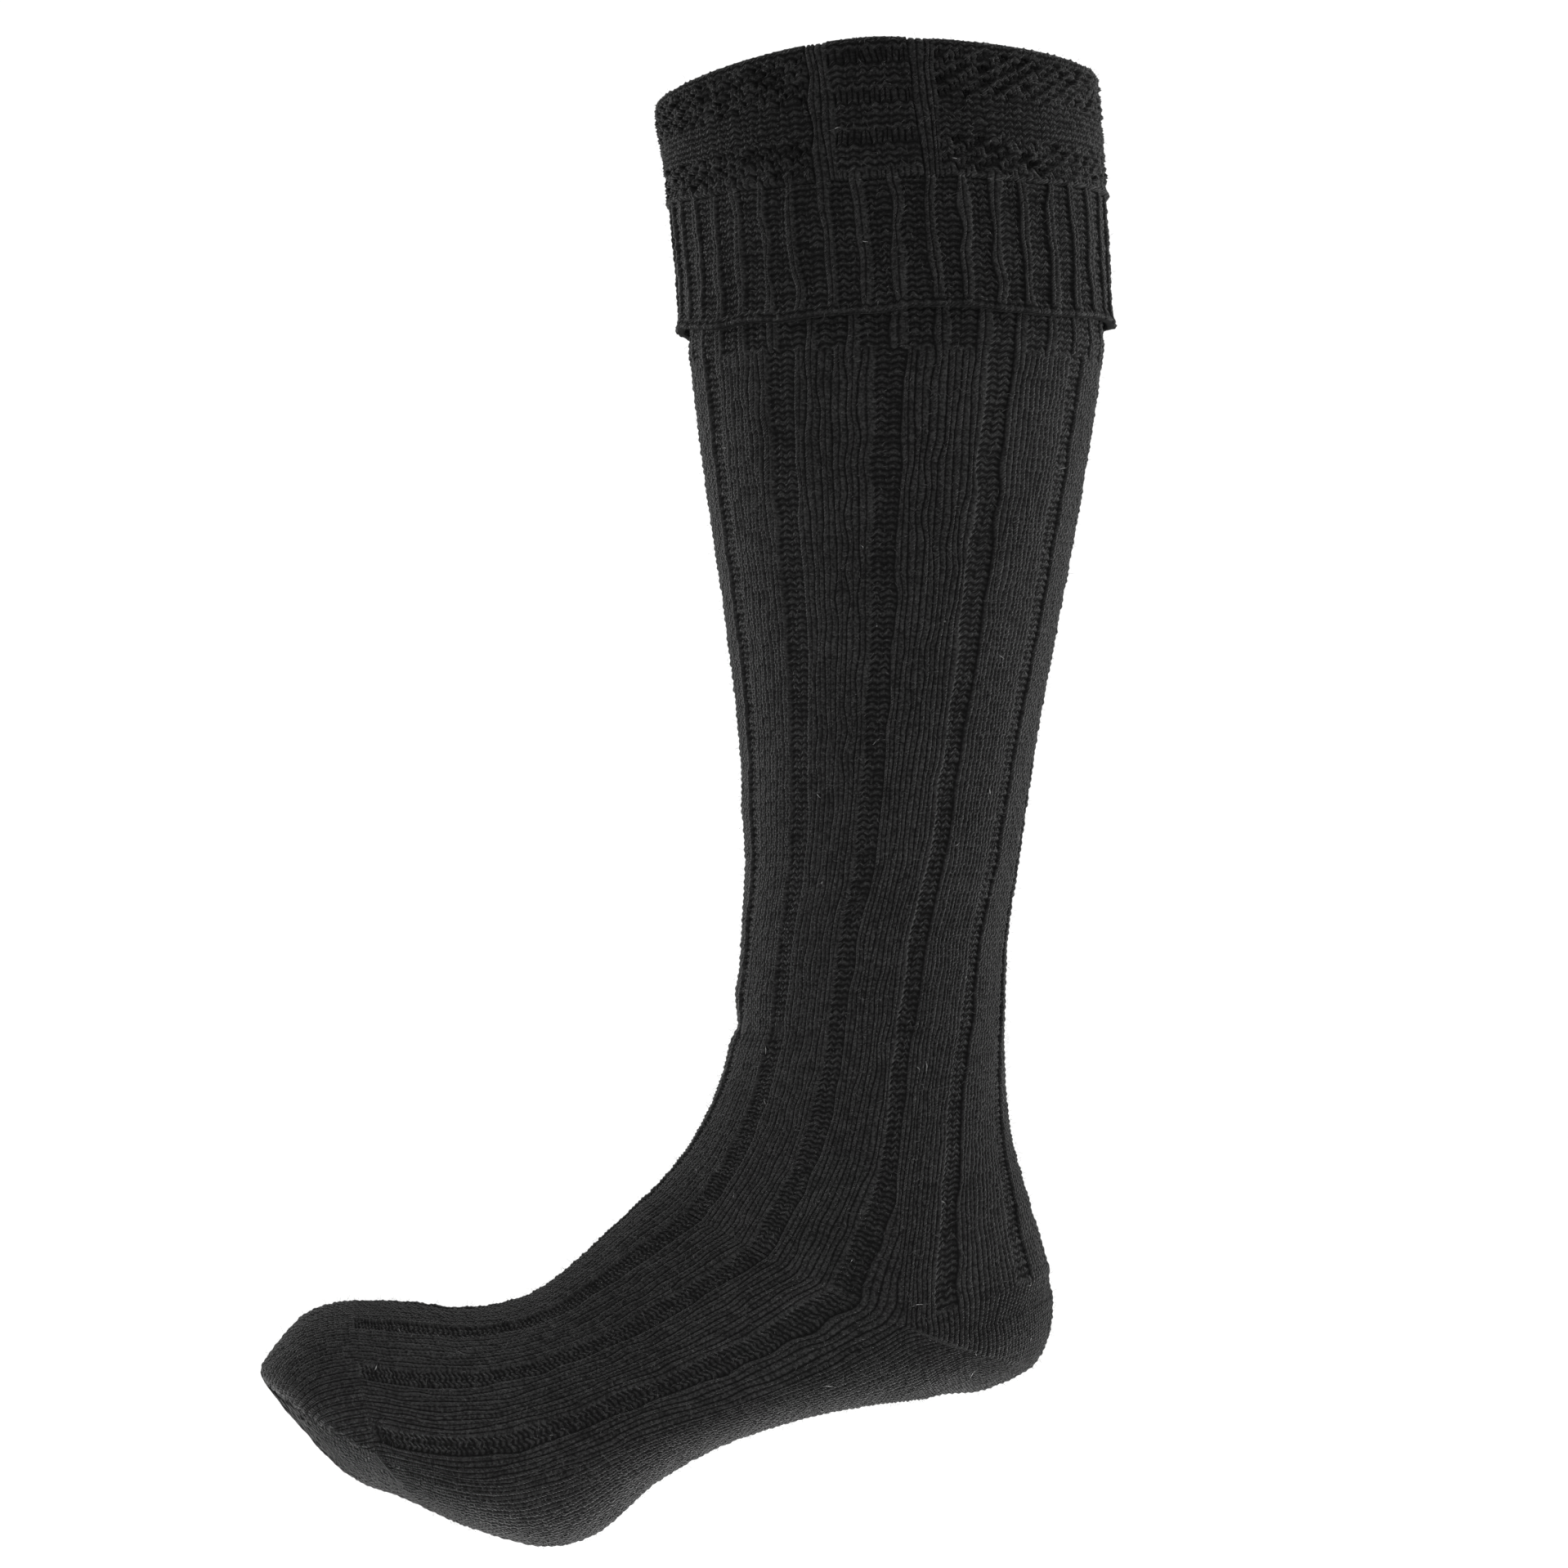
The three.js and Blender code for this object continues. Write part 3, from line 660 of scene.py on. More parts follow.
heel_curve, heel_length = dense(heel_line, HEEL_STEPS + 1)
heel_polar = heel_curve - heel_pivot
heel_angle = np.unwrap(np.arctan2(heel_polar[:, 1], heel_polar[:, 0]))
heel_reach = np.linalg.norm(heel_polar, axis=1)
gore_end = heel_curve[round(GORE_SHARE * HEEL_STEPS)]
gore = (gore_end - heel_pivot) / np.linalg.norm(gore_end - heel_pivot)
HEEL_COURSES = (round(heel_length * GORE_SHARE / COURSE), round(heel_length * (1 - GORE_SHARE) / COURSE))
print("heel courses:", HEEL_COURSES)


def heel_half(share, outline, half):
    """For wales a share of the way out from the pivot: the path of each, and how far it runs to the gore."""
    reach = np.linalg.norm(outline[0] - heel_pivot)
    across = (outline[0] - heel_pivot) / reach
    down = np.array([-across[1], across[0]])
    if np.dot(down, gore_end - heel_pivot) < 0:
        down = -down
    steps = np.arange(len(outline)) * heel_length / HEEL_STEPS

    def path(out_share, distance):
        straight = heel_pivot + np.outer(out_share * reach, across) + np.outer(distance, down)
        edge = heel_pivot + reach * across + np.outer(distance, down)
        rim = np.stack([np.interp(distance, steps, outline[:, k]) for k in (0, 1)], axis=1)
        return straight + (out_share ** PATH_POWER)[:, None] * (rim - edge)

    tries = np.linspace(0, half * GORE_OVERSHOOT, GORE_TRIES)
    stops = np.zeros(len(share))
    facing = np.sign(across[0] * gore[1] - across[1] * gore[0])
    for k, one in enumerate(share):
        p = path(np.full(len(tries), one), tries) - heel_pivot
        crossed = np.nonzero(facing * (p[:, 0] * gore[1] - p[:, 1] * gore[0]) <= TINY)[0]
        stops[k] = tries[crossed[0]] if len(crossed) else half
    return path, stops


# %% Heel stitches
HEEL_FLAT = 0.36
HEEL_INSIDE_ROWS = 9
GORE_HEIGHT = 0.4
LEG_BLEND_ROWS = 8
FOOT_BLEND_ROWS = 16


def heel():
    """The heel pocket from side to side, closed by an inner face that meets the outer one at both sides."""
    wales = 2 * QUARTER
    columns = np.arange(wales * COLUMNS + 1)
    wale = QUARTER + columns // COLUMNS + COLUMN_AT[columns % COLUMNS]
    share = np.abs(np.cos(wale / WALES * 2 * math.pi))
    most = np.sqrt(1 - HEEL_FLAT * (1 - share ** 2))
    up_path, up_stop = heel_half(share, heel_curve, heel_length * GORE_SHARE)
    low_path, low_stop = heel_half(share, heel_curve[::-1], heel_length * (1 - GORE_SHARE))
    up_end = up_path(share, up_stop)
    low_end = low_path(share, low_stop)
    on_gore = sum(np.linalg.norm(end - heel_pivot, axis=1) for end in (up_end, low_end)) / 2
    meet = heel_pivot + np.outer(np.minimum(on_gore, np.linalg.norm(gore_end - heel_pivot)), gore)
    middle_row = 2 * HEEL_COURSES[0]
    last_row = 2 * sum(HEEL_COURSES)
    outer_rows = last_row + 1
    rows = outer_rows + HEEL_INSIDE_ROWS
    half_course = (up_stop.max() / middle_row, low_stop.max() / (last_row - middle_row))

    def side_point(i, row):
        """The place in the side view of column i on a row, and whether the column has ended on the gore."""
        upper = row <= middle_row
        distance = np.where(upper, row * half_course[0], (last_row - row) * half_course[1])
        stop = np.where(upper, up_stop[i], low_stop[i])
        ended = distance >= stop - TINY
        distance = np.minimum(distance, stop)
        pull = np.where(stop > TINY, distance / np.maximum(stop, TINY), 1)[:, None] ** PATH_POWER
        on_up = up_path(share[i], distance) + pull * (meet[i] - up_end[i])
        on_low = low_path(share[i], distance) + pull * (meet[i] - low_end[i])
        return np.where(upper[:, None], on_up, on_low), ended

    def solid_point(i, row, out):
        """The side view point brought out to the heel's round surface and moved out by a distance."""
        flat, _ = side_point(i, row)
        p = flat - heel_pivot
        limit = np.interp(-np.arctan2(p[:, 1], p[:, 0]), -heel_angle, heel_reach)
        q = np.minimum(np.linalg.norm(p, axis=1) / limit, most[i])
        side = np.sign(wale[i] - 2 * QUARTER)
        y = side * HEEL_HALF_WIDTH * np.sqrt(1 - q ** 2)
        y = np.where(i == wales * COLUMNS // 2, 0, y)
        normal = np.stack([p[:, 0] / limit ** 2, y / HEEL_HALF_WIDTH ** 2, p[:, 1] / limit ** 2], axis=1)
        normal /= np.maximum(np.linalg.norm(normal, axis=1), LEAST_NORMAL)[:, None]
        return np.stack([flat[:, 0], y, flat[:, 1]], axis=1) + normal * out[:, None]

    def place(i, j):
        column = i % COLUMNS
        number = QUARTER + i // COLUMNS
        inner = (j >= outer_rows) & (j < rows)
        row = np.where(j == rows, 0, j)
        row = np.where(inner, (rows - 1 - j) * last_row / (HEEL_INSIDE_ROWS - 1), row)
        _, ended = side_point(i, row)
        end = (i == 0) | (i == wales * COLUMNS)
        course = np.where(row == last_row, LEG_COURSES, LEG_COURSES + row.astype(int) // 2)
        crown = np.where((row == 0) | (row == last_row), SHARED_CROWN, row.astype(int) % 2) * ~inner
        high = yarn(True, crown, column, jitter_at(number, course))
        high = np.where(end, 0, np.where(ended, GORE_HEIGHT, high))
        out = np.where(end, -STITCH_RELIEF, np.where(inner, -LEG_WALL, STITCH_RELIEF * (high - 1)))
        points = solid_point(i, row, out)
        leg_end = raised(leg_rings, np.full(len(i), len(leg_rings) - 1.0), wale[i], out)
        foot_start = raised(foot_rings, np.zeros(len(i)), wale[i], out)
        to_leg = leg_end - solid_point(i, np.zeros(len(i)), out)
        to_foot = foot_start - solid_point(i, np.full(len(i), last_row), out)
        points += to_leg * np.clip(1 - row / LEG_BLEND_ROWS, 0, 1)[:, None]
        points += to_foot * np.clip(1 - (last_row - row) / FOOT_BLEND_ROWS, 0, 1)[:, None]
        return points, high

    inner = np.linspace(sum(HEEL_COURSES), 0, HEEL_INSIDE_ROWS)
    uv_course, _ = out_and_back(np.arange(outer_rows) / 2, inner)
    rims = [0, outer_rows - 1, outer_rows, rows - 1, rows]
    return fabric("heel_knit", wales, rows, rims, place, uv_course + LEG_COURSES)


heel_piece = heel()

# %% [markdown]
# ## The turned-down cuff
#
# The cuff hangs outside the leg with a little air behind it. Its fabric goes over the rim in a small round
# fold, so a place on it is a distance from the fold's inner edge: first round the fold, then down the
# outside. It has its own wales, 120 of them, because it is knitted looser than the leg.

# %% A place on the cuff
CUFF_TURN = math.radians(-1.5)
FLARE_FROM = 12.0
FLARE_MOST = 1.2
CUFF_EASE = 1.5
CUFF_WANDER = 1.5
# Painted shade on the cuff's sunk knit stitches, laid into the height that the material reads
SUNK_SHADE = 0.55
SAG = 3.4
SAG_ANGLE = 38.0
SAG_SPREAD = 36.0
RIPPLE = 1.2
RIPPLE_WALES = 4


def droop(angle, wale):
    """How much lower than level the hem hangs: most beside the front, with a small ripple all round."""
    degrees = np.mod(np.degrees(angle) + 180, 360) - 180
    knot = np.floor(wale / RIPPLE_WALES)
    f = eased(wale / RIPPLE_WALES - knot)
    count = CUFF_WALES // RIPPLE_WALES
    course = np.array(RIPPLE_NOISE)
    ripple = (1 - f) * jitter_at(np.mod(knot, count), course) + f * jitter_at(np.mod(knot + 1, count), course)
    return SAG * np.exp(-((np.abs(degrees) - SAG_ANGLE) / SAG_SPREAD) ** 2) + RIPPLE * ripple


def cuff_point(along, wale, height, inner):
    """Points of the cuff: along in millimetres from where the fold leaves the leg, and the yarn's height."""
    angle = wale / CUFF_WALES * 2 * math.pi + CUFF_TURN
    arc = math.pi * FOLD_RADIUS
    turn = math.pi - np.clip(along, 0, arc) / FOLD_RADIUS
    radius = np.where(inner, CUFF_GAP / 2, FOLD_RADIUS + height)
    past = np.maximum(along - arc, 0)
    down = FOLD_RADIUS - radius * np.sin(turn) + past + droop(angle, wale) * past / CUFF_DEPTH
    out = CUFF_GAP / 2 + radius * np.cos(turn)
    flare = HEM_FLARE * np.clip((down - CUFF_DEPTH + FLARE_FROM) / FLARE_FROM, 0, FLARE_MOST) ** 2
    t = np.interp(down, leg_line[1], leg_line[0])
    return raised(leg_rings, t, angle, out + flare, by_angle=True)


def knit_cuff(name, first, last, before, is_knit, level, inner_rows):
    """A closed band of the cuff between two places along it, with before courses knitted earlier."""
    courses = round((last - first) / COURSE)
    course, inside = out_and_back(np.arange(2 * courses + 1) / 2, np.linspace(courses, 0, inner_rows))
    along = first + (last - first) * course / courses
    ease = np.clip(np.minimum(course, courses - course) / CUFF_EASE, 0, 1)

    def place(i, j):
        column = i % COLUMNS
        number = (i // COLUMNS) % CUFF_WALES
        wale = i // COLUMNS + COLUMN_AT[column]
        whole = np.floor(course[j])
        knit = is_knit(number, whole)
        jitter = jitter_at(number + CUFF_NOISE, whole + before)
        high = yarn(knit, course[j] % 1 == 0.5, column, jitter)
        slant = lifted(knit, column, jitter) * ~inside[j] * COURSE * ease[j]
        lift = level(wale, number, whole)
        height = STITCH_RELIEF * (high - 1) + lift
        wander = CUFF_WANDER * wander_at(wale, course[j] + before, CUFF_WALES) * ~inside[j]
        points = cuff_point(along[j] - slant, wale + wander, height, inside[j])
        # The sunk knit stitches of the moss and the rungs get a lower height for the material: painted shade
        return points, np.where(knit, high * (1 + SUNK_SHADE * np.clip(lift, -1, 0)), high)

    print(name, courses, "courses")
    return fabric(name, CUFF_WALES, len(course) - 1, [], place, course + before)


# %% [markdown]
# ## The welt
#
# Knit one, purl two, to the hem. The single knit wales stand up as thin ribs. The last course is the
# cast-off chain, which lies across the ribs and stands proud at the end of each.

# %% The welt's rule
WELT_REPEAT = 3
WELT_COURSES = round((CUFF_DEPTH - BAND_DEPTH) / COURSE)
WELT_CHANNEL_MOUTH = 1.05
WELT_CHANNEL_SLOPE = 0.25
WELT_PROUD = 0.2
CAST_OFF_PROUD = 0.45
RIB_END_PROUD = 0.5


def welt_is_knit(wale, course):
    """Knit or purl on the welt. The cast-off chain counts as purl."""
    return (wale % WELT_REPEAT == 0) & (course < WELT_COURSES - 1)


def welt_level(wale, number, course):
    """The purl wales sink, and the cast-off chain at the edge stands proud, most at the end of each rib."""
    away = np.abs(np.mod(wale, WELT_REPEAT) - 2)
    sunk = -WELT_RECESS * np.clip((WELT_CHANNEL_MOUTH - away) / WELT_CHANNEL_SLOPE, 0, 1)
    chain = CAST_OFF_PROUD + RIB_END_PROUD * (number % WELT_REPEAT == 0)
    return np.where(course >= WELT_COURSES - 1, chain, WELT_PROUD + sunk)


print("welt:", CUFF_WALES // WELT_REPEAT, "ribs")


# %% [markdown]
# ## The band and its ladder
#
# The band is mostly texture: moss stitch, then the purl side of stockinette, then moss again. On each side
# of the leg stands a ladder, two knit wales on each side of blocks of purl, with two knit courses sunk
# between one block and the next. The chart is a rule for each area, which is how it would be written for a
# knitter.

# %% The band's chart
LADDER_RAILS = (24, 25, 33, 34)
LADDER_PERIOD = 60
RUNG_PERIOD = 6
RUNG_COURSES = (1, 2)
BULGE_COURSES = (4, 5)
FOLD_COURSES = 4
PURL_PROUD = 0.45
RAIL_PROUD = 0.05
BLOCK_BULGE = 0.5
MOSS_SUNK = 0.65
RUNG_SUNK = 0.8
MOSS_UNEVEN = 0.75
BORDER_PROUD = 0.9
MOSS_STRIPES = [(1, 8), (14, 20)]


def in_ladder(wale):
    """Whether a wale's number is on a rail of the ladder, and whether it is between the rails."""
    place = wale % LADDER_PERIOD
    return np.isin(place, LADDER_RAILS), (place > LADDER_RAILS[1]) & (place < LADDER_RAILS[2])


def band_areas(wale, course):
    """The areas of the band: rail, between the rails, rung, moss."""
    rail, between = in_ladder(wale)
    shown = course - FOLD_COURSES
    rung = between & np.isin(shown % RUNG_PERIOD, RUNG_COURSES)
    moss = np.any([(shown >= first) & (shown < last) for first, last in MOSS_STRIPES], axis=0)
    return rail, between, rung, moss & ~rail & ~between


def band_is_knit(wale, course):
    """Knit or purl on the band. Its last row is the welt's first."""
    rail, between, rung, moss = band_areas(wale, course)
    knit = rail | rung | (moss & ((wale + course) % 2 == 0))
    return np.where(course == band_courses, welt_is_knit(wale, 0), knit)


def band_level(wale, number, course):
    """Purl stands proud of the leg's level, knit stitches of the moss and the rungs sink."""
    rail, between, rung, moss = band_areas(number, course)
    moss_knit = moss & ((number + course) % 2 == 0)
    shown = course - FOLD_COURSES
    first_block = RUNG_COURSES[-1] + 1
    bulge = BLOCK_BULGE * between * (shown >= first_block) * np.isin(shown % RUNG_PERIOD, BULGE_COURSES)
    level = np.where(moss_knit, -MOSS_SUNK, np.where(rung, -RUNG_SUNK, PURL_PROUD + bulge))
    level = level + moss * MOSS_UNEVEN * jitter_at(number + MOSS_NOISE, course)
    level = np.where(course == band_courses - 1, BORDER_PROUD, level)
    level = np.where(rail, RAIL_PROUD, level)
    return np.where(course == band_courses, welt_level(wale, number, 0), level)


BAND_INSIDE_ROWS = 9
WELT_INSIDE_ROWS = 5
band_last = math.pi * FOLD_RADIUS + BAND_DEPTH - FOLD_RADIUS
band_courses = round(band_last / COURSE)
band_piece = knit_cuff("cuff_band_knit", 0.0, band_last, 0, band_is_knit, band_level, BAND_INSIDE_ROWS)
welt_last = band_last + CUFF_DEPTH - BAND_DEPTH
welt_piece = knit_cuff("cuff_welt_knit", band_last, welt_last, band_courses, welt_is_knit, welt_level,
                       WELT_INSIDE_ROWS)


# %% [markdown]
# ## The wool
#
# Worsted wool, carded, combed and spun from several plies, dyed a charcoal that is nearly black. The eye
# reads it from three things: the shine that fine fibres give at a grazing angle, the slight heather of
# lighter and darker fibres, and the twist of the plies across each leg of a stitch. The stitches themselves
# are in the mesh, so the material adds the plies and the fibres, and paints shade into the grooves: where
# the yarn stands low, its colour and its sheen are darkened. Its patterns read the stitch map, where one
# unit is one stitch.

# %% Helpers for materials
def linear(colour):
    """An sRGB hex colour as linear RGBA."""
    channels = [int(colour[k:k + 2], 16) / 255 for k in (1, 3, 5)]
    return [c / 12.92 if c <= 0.04045 else ((c + 0.055) / 1.055) ** 2.4 for c in channels] + [1.0]


def add_node(tree, kind, settings=None, **links):
    """Adds a node, sets its properties and sockets, and links sockets by name."""
    node = tree.nodes.new(kind)
    for key, value in (settings or {}).items():
        if key.startswith("in:"):
            node.inputs[key[3:]].default_value = value
        else:
            setattr(node, key, value)
    for socket, source in links.items():
        tree.links.new(source, node.inputs[socket.replace("__", " ")])
    return node


def set_ramp(ramp, colours, positions):
    """Gives a colour ramp its two colours."""
    for element, colour, position in zip(ramp.color_ramp.elements, colours, positions):
        element.position = position
        element.color = linear(colour)


# %% Worsted wool yarn
HEATHER_MM = 0.8
PATCH_MM = 22.0
PATCH_SHARE = 0.18
LIGHT_FROM, LIGHT_TO = 0.44, 0.78
# Painted shade: below this yarn height the colour darkens towards the groove colour and the sheen tint dims
UNSHADED_HEIGHT = 0.75
PLIES_A_STITCH = 1.5
PLY_MM = 0.3
FIBRES_A_STITCH = 6.0
FIBRE_MM = 0.4
SHADED_GROOVE_SHEEN = "#181818"
CROWN_SHEEN = "#b8b8b8"


def wool(name, groove, base, light):
    """Charcoal worsted wool: painted groove shade, heathered, with plies and fibres as bump and a sheen."""
    material = bpy.data.materials.new(name)
    material.use_nodes = True
    tree = material.node_tree
    tree.nodes.clear()
    where = add_node(tree, "ShaderNodeTexCoord").outputs["Object"]
    heather = add_node(tree, "ShaderNodeTexNoise", {"in:Scale": 1 / (HEATHER_MM * MM), "in:Detail": 3.0},
                       Vector=where)
    patches = add_node(tree, "ShaderNodeTexNoise", {"in:Scale": 1 / (PATCH_MM * MM), "in:Detail": 2.0},
                       Vector=where)
    tones = add_node(tree, "ShaderNodeMath", {"operation": "MULTIPLY_ADD"})
    tree.links.new(patches.outputs["Fac"], tones.inputs[0])
    tones.inputs[1].default_value = PATCH_SHARE
    tree.links.new(heather.outputs["Fac"], tones.inputs[2])
    ramp = add_node(tree, "ShaderNodeValToRGB", Fac=tones.outputs["Value"])
    set_ramp(ramp, (base, light), (LIGHT_FROM, LIGHT_TO))
    height = add_node(tree, "ShaderNodeAttribute", {"attribute_name": "yarn_height_and_shade"})
    # Painted shade: the yarn's height mixes in the dark groove colour and the dim groove sheen tint
    painted_shade = add_node(tree, "ShaderNodeMapRange", {"interpolation_type": "SMOOTHSTEP",
                                                  "in:From Max": UNSHADED_HEIGHT}, Value=height.outputs["Fac"])
    colour = add_node(tree, "ShaderNodeMix", {"data_type": "RGBA"})
    tree.links.new(painted_shade.outputs["Result"], colour.inputs["Factor"])
    colour.inputs[6].default_value = linear(groove)
    tree.links.new(ramp.outputs["Color"], colour.inputs[7])
    sheen = add_node(tree, "ShaderNodeMix", {"data_type": "RGBA"})
    tree.links.new(painted_shade.outputs["Result"], sheen.inputs["Factor"])
    sheen.inputs[6].default_value = linear(SHADED_GROOVE_SHEEN)
    sheen.inputs[7].default_value = linear(CROWN_SHEEN)
    stitches = add_node(tree, "ShaderNodeUVMap", {"uv_map": "stitches"}).outputs["UV"]
    plies = add_node(tree, "ShaderNodeTexWave", {"bands_direction": "DIAGONAL", "in:Scale": PLIES_A_STITCH,
                                                 "in:Distortion": 3.0, "in:Detail": 2.0}, Vector=stitches)
    fine = add_node(tree, "ShaderNodeTexNoise", {"in:Scale": FIBRES_A_STITCH, "in:Detail": 4.0,
                                                 "in:Roughness": 0.7}, Vector=stitches)
    ply_bump = add_node(tree, "ShaderNodeBump", {"in:Strength": 0.5, "in:Distance": PLY_MM * MM},
                        Height=plies.outputs["Fac"])
    bump = add_node(tree, "ShaderNodeBump", {"in:Strength": 0.6, "in:Distance": FIBRE_MM * MM},
                    Height=fine.outputs["Fac"], Normal=ply_bump.outputs["Normal"])
    shader = add_node(tree, "ShaderNodeBsdfPrincipled",
                      {"in:Roughness": 0.9, "in:IOR": 1.54, "in:Specular IOR Level": 0.05,
                       "in:Sheen Weight": 0.43, "in:Sheen Roughness": 0.35}, Normal=bump.outputs["Normal"])
    tree.links.new(colour.outputs[2], shader.inputs["Base Color"])
    tree.links.new(sheen.outputs[2], shader.inputs["Sheen Tint"])
    add_node(tree, "ShaderNodeOutputMaterial", Surface=shader.outputs["BSDF"])
    return material


# 050505 is the painted shade of the grooves; the other two colours are the heathered yarn
wool_yarn = wool("worsted wool yarn", "#050505", "#080808", "#252525")

# %% [markdown]
# ## The halo of fibres
#
# Wool yarn is never smooth: the ends of its fibres stand out from every stitch and soften the outline.
# Particle hair would do, but a fibre is simple to build: a grid three faces round and two faces long,
# closed at both ends. Some thousands of copies of it, each bent its own way at a random point of the
# stitches, are enough. They are drawn thicker than real fibres, which are too fine to show. A few longer,
# paler ones are lint.

# %% Fibres
FIBRE_SIDES = 3
FIBRE_LENGTHS = 2
CLOSE_SHARE = 0.001
ROOT_HEIGHT = 0.6
FIBRE_STAND = 0.75
FIBRE_FALL = 0.3
LEAST_LEAN, MOST_LEAN = 0.2, 1.2
MOST_CURL = 0.6


def fibres(name, pieces, count, shortest, longest, radius, seed):
    """Thin curved fibres with closed ends, rooted at random points of the pieces' outer faces."""
    bm = bmesh.new()
    bmesh.ops.create_grid(bm, x_segments=FIBRE_SIDES, y_segments=FIBRE_LENGTHS, size=0.5)
    bm.verts.ensure_lookup_table()
    around = np.array([vertex.co.x + 0.5 for vertex in bm.verts]) * 2 * math.pi
    up = np.array([vertex.co.y + 0.5 for vertex in bm.verts])
    for vertex, angle, level in zip(bm.verts, around, up):
        width = math.sin(math.pi * level)
        vertex.co = (math.cos(angle) * width, math.sin(angle) * width, level)
    bmesh.ops.remove_doubles(bm, verts=bm.verts[:], dist=CLOSE_SHARE)
    if bm.calc_volume(signed=True) < 0:
        bmesh.ops.reverse_faces(bm, faces=bm.faces[:])
    shape = np.array([vertex.co[:] for vertex in bm.verts])
    faces = [[vertex.index for vertex in face.verts] for face in bm.faces]
    bm.free()
    roots, normals = [], []
    for piece in pieces:
        size = len(piece.data.vertices)
        co = np.empty(size * 3)
        normal = np.empty(size * 3)
        high = np.empty(size)
        piece.data.vertices.foreach_get("co", co)
        piece.data.vertices.foreach_get("normal", normal)
        piece.data.attributes["yarn_height_and_shade"].data.foreach_get("value", high)
        outer = high > ROOT_HEIGHT
        roots.append(co.reshape(-1, 3)[outer])
        normals.append(normal.reshape(-1, 3)[outer])
    roots = np.concatenate(roots)
    normals = np.concatenate(normals)
    chance = np.random.default_rng(seed)
    chosen = chance.choice(len(roots), count, replace=False)
    root = roots[chosen]
    normal = normals[chosen]
    sideways = chance.normal(size=(count, 3))
    sideways -= (sideways * normal).sum(axis=1)[:, None] * normal
    sideways /= np.linalg.norm(sideways, axis=1)[:, None]
    other = np.cross(normal, sideways)
    length = chance.uniform(shortest, longest, count) * MM
    lean = chance.uniform(LEAST_LEAN, MOST_LEAN, count)
    curl = chance.uniform(-MOST_CURL, MOST_CURL, count)
    points = []
    for x, y, level in shape:
        spine = normal * (FIBRE_STAND * level - FIBRE_FALL * level ** 2)
        bend = sideways * (lean * level)[:, None] + other * (curl * level ** 2)[:, None]
        tube = (sideways * x + other * y) * radius * MM
        points.append(root + (spine + bend) * length[:, None] + tube)
    points = np.stack(points, axis=1).reshape(-1, 3)
    all_faces = [[index + k * len(shape) for index in face] for k in range(count) for face in faces]
    mesh = bpy.data.meshes.new(name)
    mesh.from_pydata(points.tolist(), [], all_faces)
    mesh.shade_smooth()
    halo = bpy.data.objects.new(name, mesh)
    bpy.context.scene.collection.objects.link(halo)
    print(name, sum(len(face) - 2 for face in faces) * count, "triangles")
    return halo


# %% Wool of single fibres
DARK_FIBRE, LIGHT_FIBRE = 0.35, 0.65


def plain_wool(name, dark, light):
    """The same wool as single fibres."""
    material = bpy.data.materials.new(name)
    material.use_nodes = True
    tree = material.node_tree
    where = add_node(tree, "ShaderNodeTexCoord").outputs["Object"]
    noise = add_node(tree, "ShaderNodeTexNoise", {"in:Scale": 1 / (HEATHER_MM * MM)}, Vector=where)
    ramp = add_node(tree, "ShaderNodeValToRGB", Fac=noise.outputs["Fac"])
    set_ramp(ramp, (dark, light), (DARK_FIBRE, LIGHT_FIBRE))
    shader = tree.nodes["Principled BSDF"]
    tree.links.new(ramp.outputs["Color"], shader.inputs["Base Color"])
    shader.inputs["Roughness"].default_value = 0.8
    shader.inputs["Specular IOR Level"].default_value = 0.2
    return material


# The charcoal fibres are paler than the yarn: heather, and painted light for the glow of lit fuzz at the
# outline
# name, count, shortest, longest and radius (mm), seed, material, dark and light colour
HALO = [
    ("wool_fibres", 24000, 1.0, 3.4, 0.03, 71, "charcoal wool fibre", "#1c1c1c", "#686868"),
    ("stray_fibres", 110, 1.5, 4.0, 0.06, 72, "pale wool fibre", "#8c8c8c", "#cccccc"),
]
knit_pieces = [*leg_pieces[:3], *foot_pieces, toe_piece, heel_piece, band_piece, welt_piece]
halo_pieces = []
for fibre_name, count, shortest, longest, radius, seed, material_name, dark, light in HALO:
    halo_pieces.append(fibres(fibre_name, knit_pieces, count, shortest, longest, radius, seed))
    halo_pieces[-1].data.materials.append(plain_wool(material_name, dark, light))

# %% [markdown]
# ## Fasten the pieces to the frame
#
# A sock has no joints, so every piece rides on the frame's one body. Each knit piece stands for the solid
# that it covers, and the fibres are added on top.

# %% What each piece stands for
STANDS_FOR = {
    "leg_tube": leg_pieces,
    "foot_tube": foot_pieces,
    "toe_cap": [toe_piece],
    "heel_pocket": [heel_piece],
    "cuff_pattern_band": [band_piece],
    "cuff_rib_welt": [welt_piece],
}
for node, pieces in STANDS_FOR.items():
    for piece in pieces:
        piece.data.materials.append(wool_yarn)
        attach(piece, "root")
        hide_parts(node)
for piece in halo_pieces:
    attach(piece, "root")
print("dressed nodes:", len(STANDS_FOR))

# %% [markdown]
# ## Camera, floor and light
#
# The sock is seen square from its side, by a long lens held level with its middle. It hangs in its place
# above a floor of white studio paper, in a white room. The room gives most of the light. Three soft boxes,
# at the toe, in front and at the calf, lift the foot and both edges a little, and all of them hang above
# the floor so that it hides none.

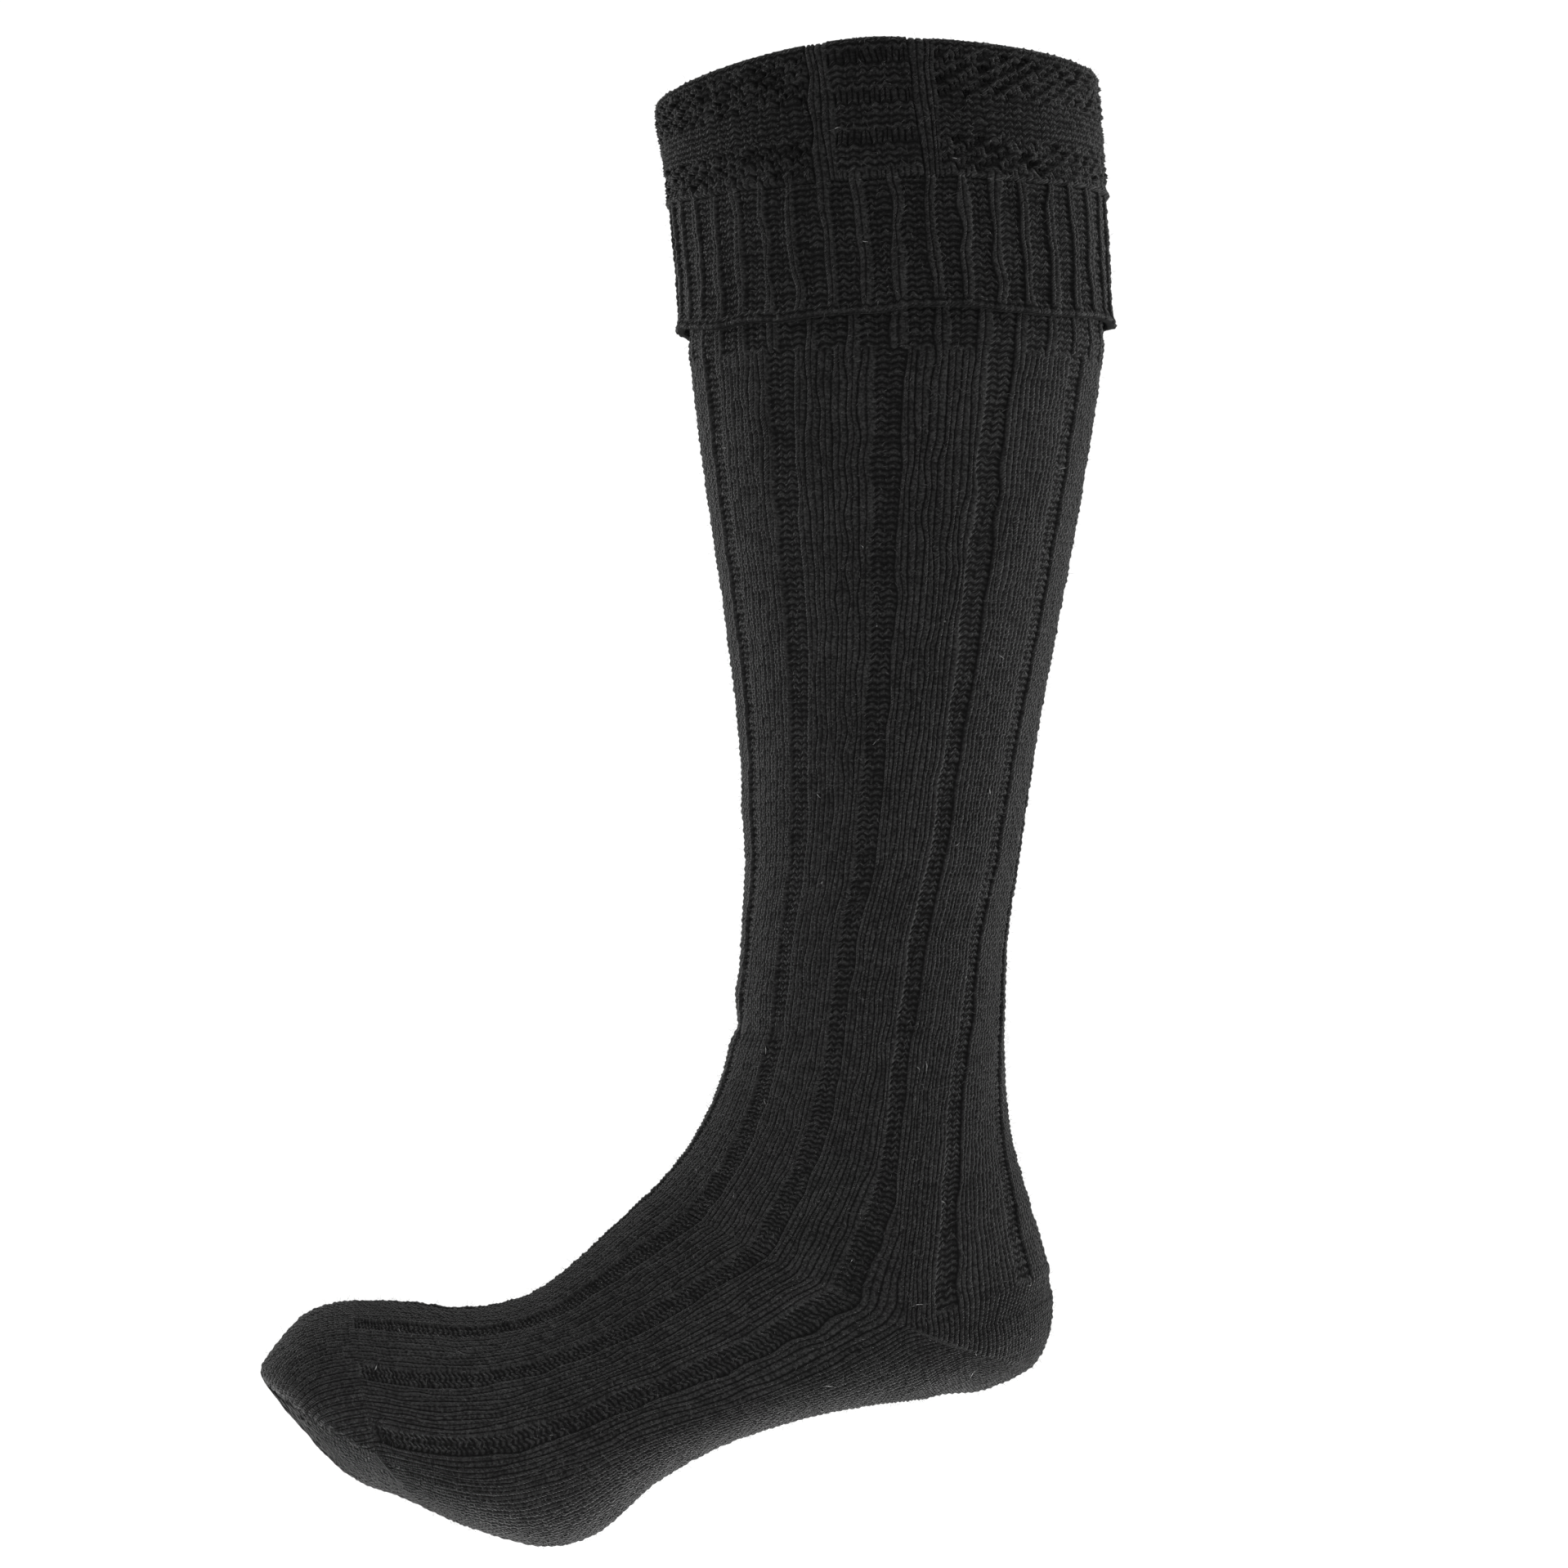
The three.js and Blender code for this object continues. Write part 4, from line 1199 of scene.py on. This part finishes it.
# %% Camera
PIXEL = 0.268
FRAME_PIXELS = 1918
CAMERA_DISTANCE = 1400.0
CAMERA_X = -35.1
CAMERA_Z = -234.2
SENSOR = 36.0
camera_data = bpy.data.cameras.new("camera")
camera_data.sensor_width = SENSOR
camera_data.lens = SENSOR * CAMERA_DISTANCE / (PIXEL * FRAME_PIXELS)
camera = bpy.data.objects.new("camera", camera_data)
camera.location = (CAMERA_X * MM, -CAMERA_DISTANCE * MM, CAMERA_Z * MM)
camera.rotation_euler = (math.pi / 2, 0, 0)
bpy.context.scene.collection.objects.link(camera)
bpy.context.scene.camera = camera
print("lens %.1f mm" % camera_data.lens)

# %% Floor
FLOOR_BELOW = 0.14
FLOOR_HALF = 6.0
PAPER_CLOUD_MM = 90.0
PAPER_GRAIN_MM = 1.2


def studio_paper():
    """White seamless paper: faint clouds in the pulp and a fine matt grain."""
    material = bpy.data.materials.new("white studio paper")
    material.use_nodes = True
    tree = material.node_tree
    where = add_node(tree, "ShaderNodeTexCoord").outputs["Object"]
    clouds = add_node(tree, "ShaderNodeTexNoise", {"in:Scale": 1 / (PAPER_CLOUD_MM * MM)}, Vector=where)
    tone = add_node(tree, "ShaderNodeValToRGB", Fac=clouds.outputs["Fac"])
    set_ramp(tone, ("#fafaf9", "#ffffff"), (0.0, 1.0))
    grain = add_node(tree, "ShaderNodeTexNoise", {"in:Scale": 1 / (PAPER_GRAIN_MM * MM)}, Vector=where)
    bump = add_node(tree, "ShaderNodeBump", {"in:Strength": 0.1, "in:Distance": 0.05 * MM},
                    Height=grain.outputs["Fac"])
    shader = tree.nodes["Principled BSDF"]
    shader.inputs["Roughness"].default_value = 0.9
    tree.links.new(tone.outputs["Color"], shader.inputs["Base Color"])
    tree.links.new(bump.outputs["Normal"], shader.inputs["Normal"])
    return material


def floor():
    """A white floor under the sock."""
    bm = bmesh.new()
    bmesh.ops.create_grid(bm, x_segments=1, y_segments=1, size=FLOOR_HALF)
    bmesh.ops.translate(bm, verts=bm.verts[:], vec=(0, 0, SOLE_LEVEL * MM - FLOOR_BELOW))
    mesh = bpy.data.meshes.new("floor")
    bm.to_mesh(mesh)
    bm.free()
    sheet = bpy.data.objects.new("floor", mesh)
    bpy.context.scene.collection.objects.link(sheet)
    mesh.materials.append(studio_paper())
    return sheet


floor()


# %% Lights
def soft_box(name, place, aim, size, power):
    """A square area light that looks at a point."""
    light = bpy.data.lights.new(name, "AREA")
    light.shape = "SQUARE"
    light.size = size
    light.energy = power
    lamp = bpy.data.objects.new(name, light)
    lamp.location = place
    direction = [a - b for a, b in zip(aim, place)]
    flat = math.hypot(direction[0], direction[1])
    lamp.rotation_euler = (math.atan2(flat, -direction[2]), 0, math.atan2(-direction[0], direction[1]))
    bpy.context.scene.collection.objects.link(lamp)
    return lamp


# name, place and aim (m), width (m), watts
SOFT_BOXES = [
    ("toe light", (-0.6, -0.6, -0.4), (-0.12, 0.0, -0.42), 0.3, 2.6),
    ("front light", (-0.08, -0.55, -0.475), (-0.08, 0.0, -0.41), 0.15, 1.9),
    ("calf light", (1.3, -0.1, -0.25), (0.05, 0.0, -0.35), 0.7, 19),
]
ROOM_LIGHT = 1.05
for light_name, place, aim, size, power in SOFT_BOXES:
    soft_box(light_name, place, aim, size, power)
world = bpy.data.worlds.new("white room")
world.use_nodes = True
world.node_tree.nodes["Background"].inputs["Color"].default_value = (1, 1, 1, 1)
world.node_tree.nodes["Background"].inputs["Strength"].default_value = ROOM_LIGHT
bpy.context.scene.world = world
bpy.context.scene.view_settings.view_transform = "Standard"
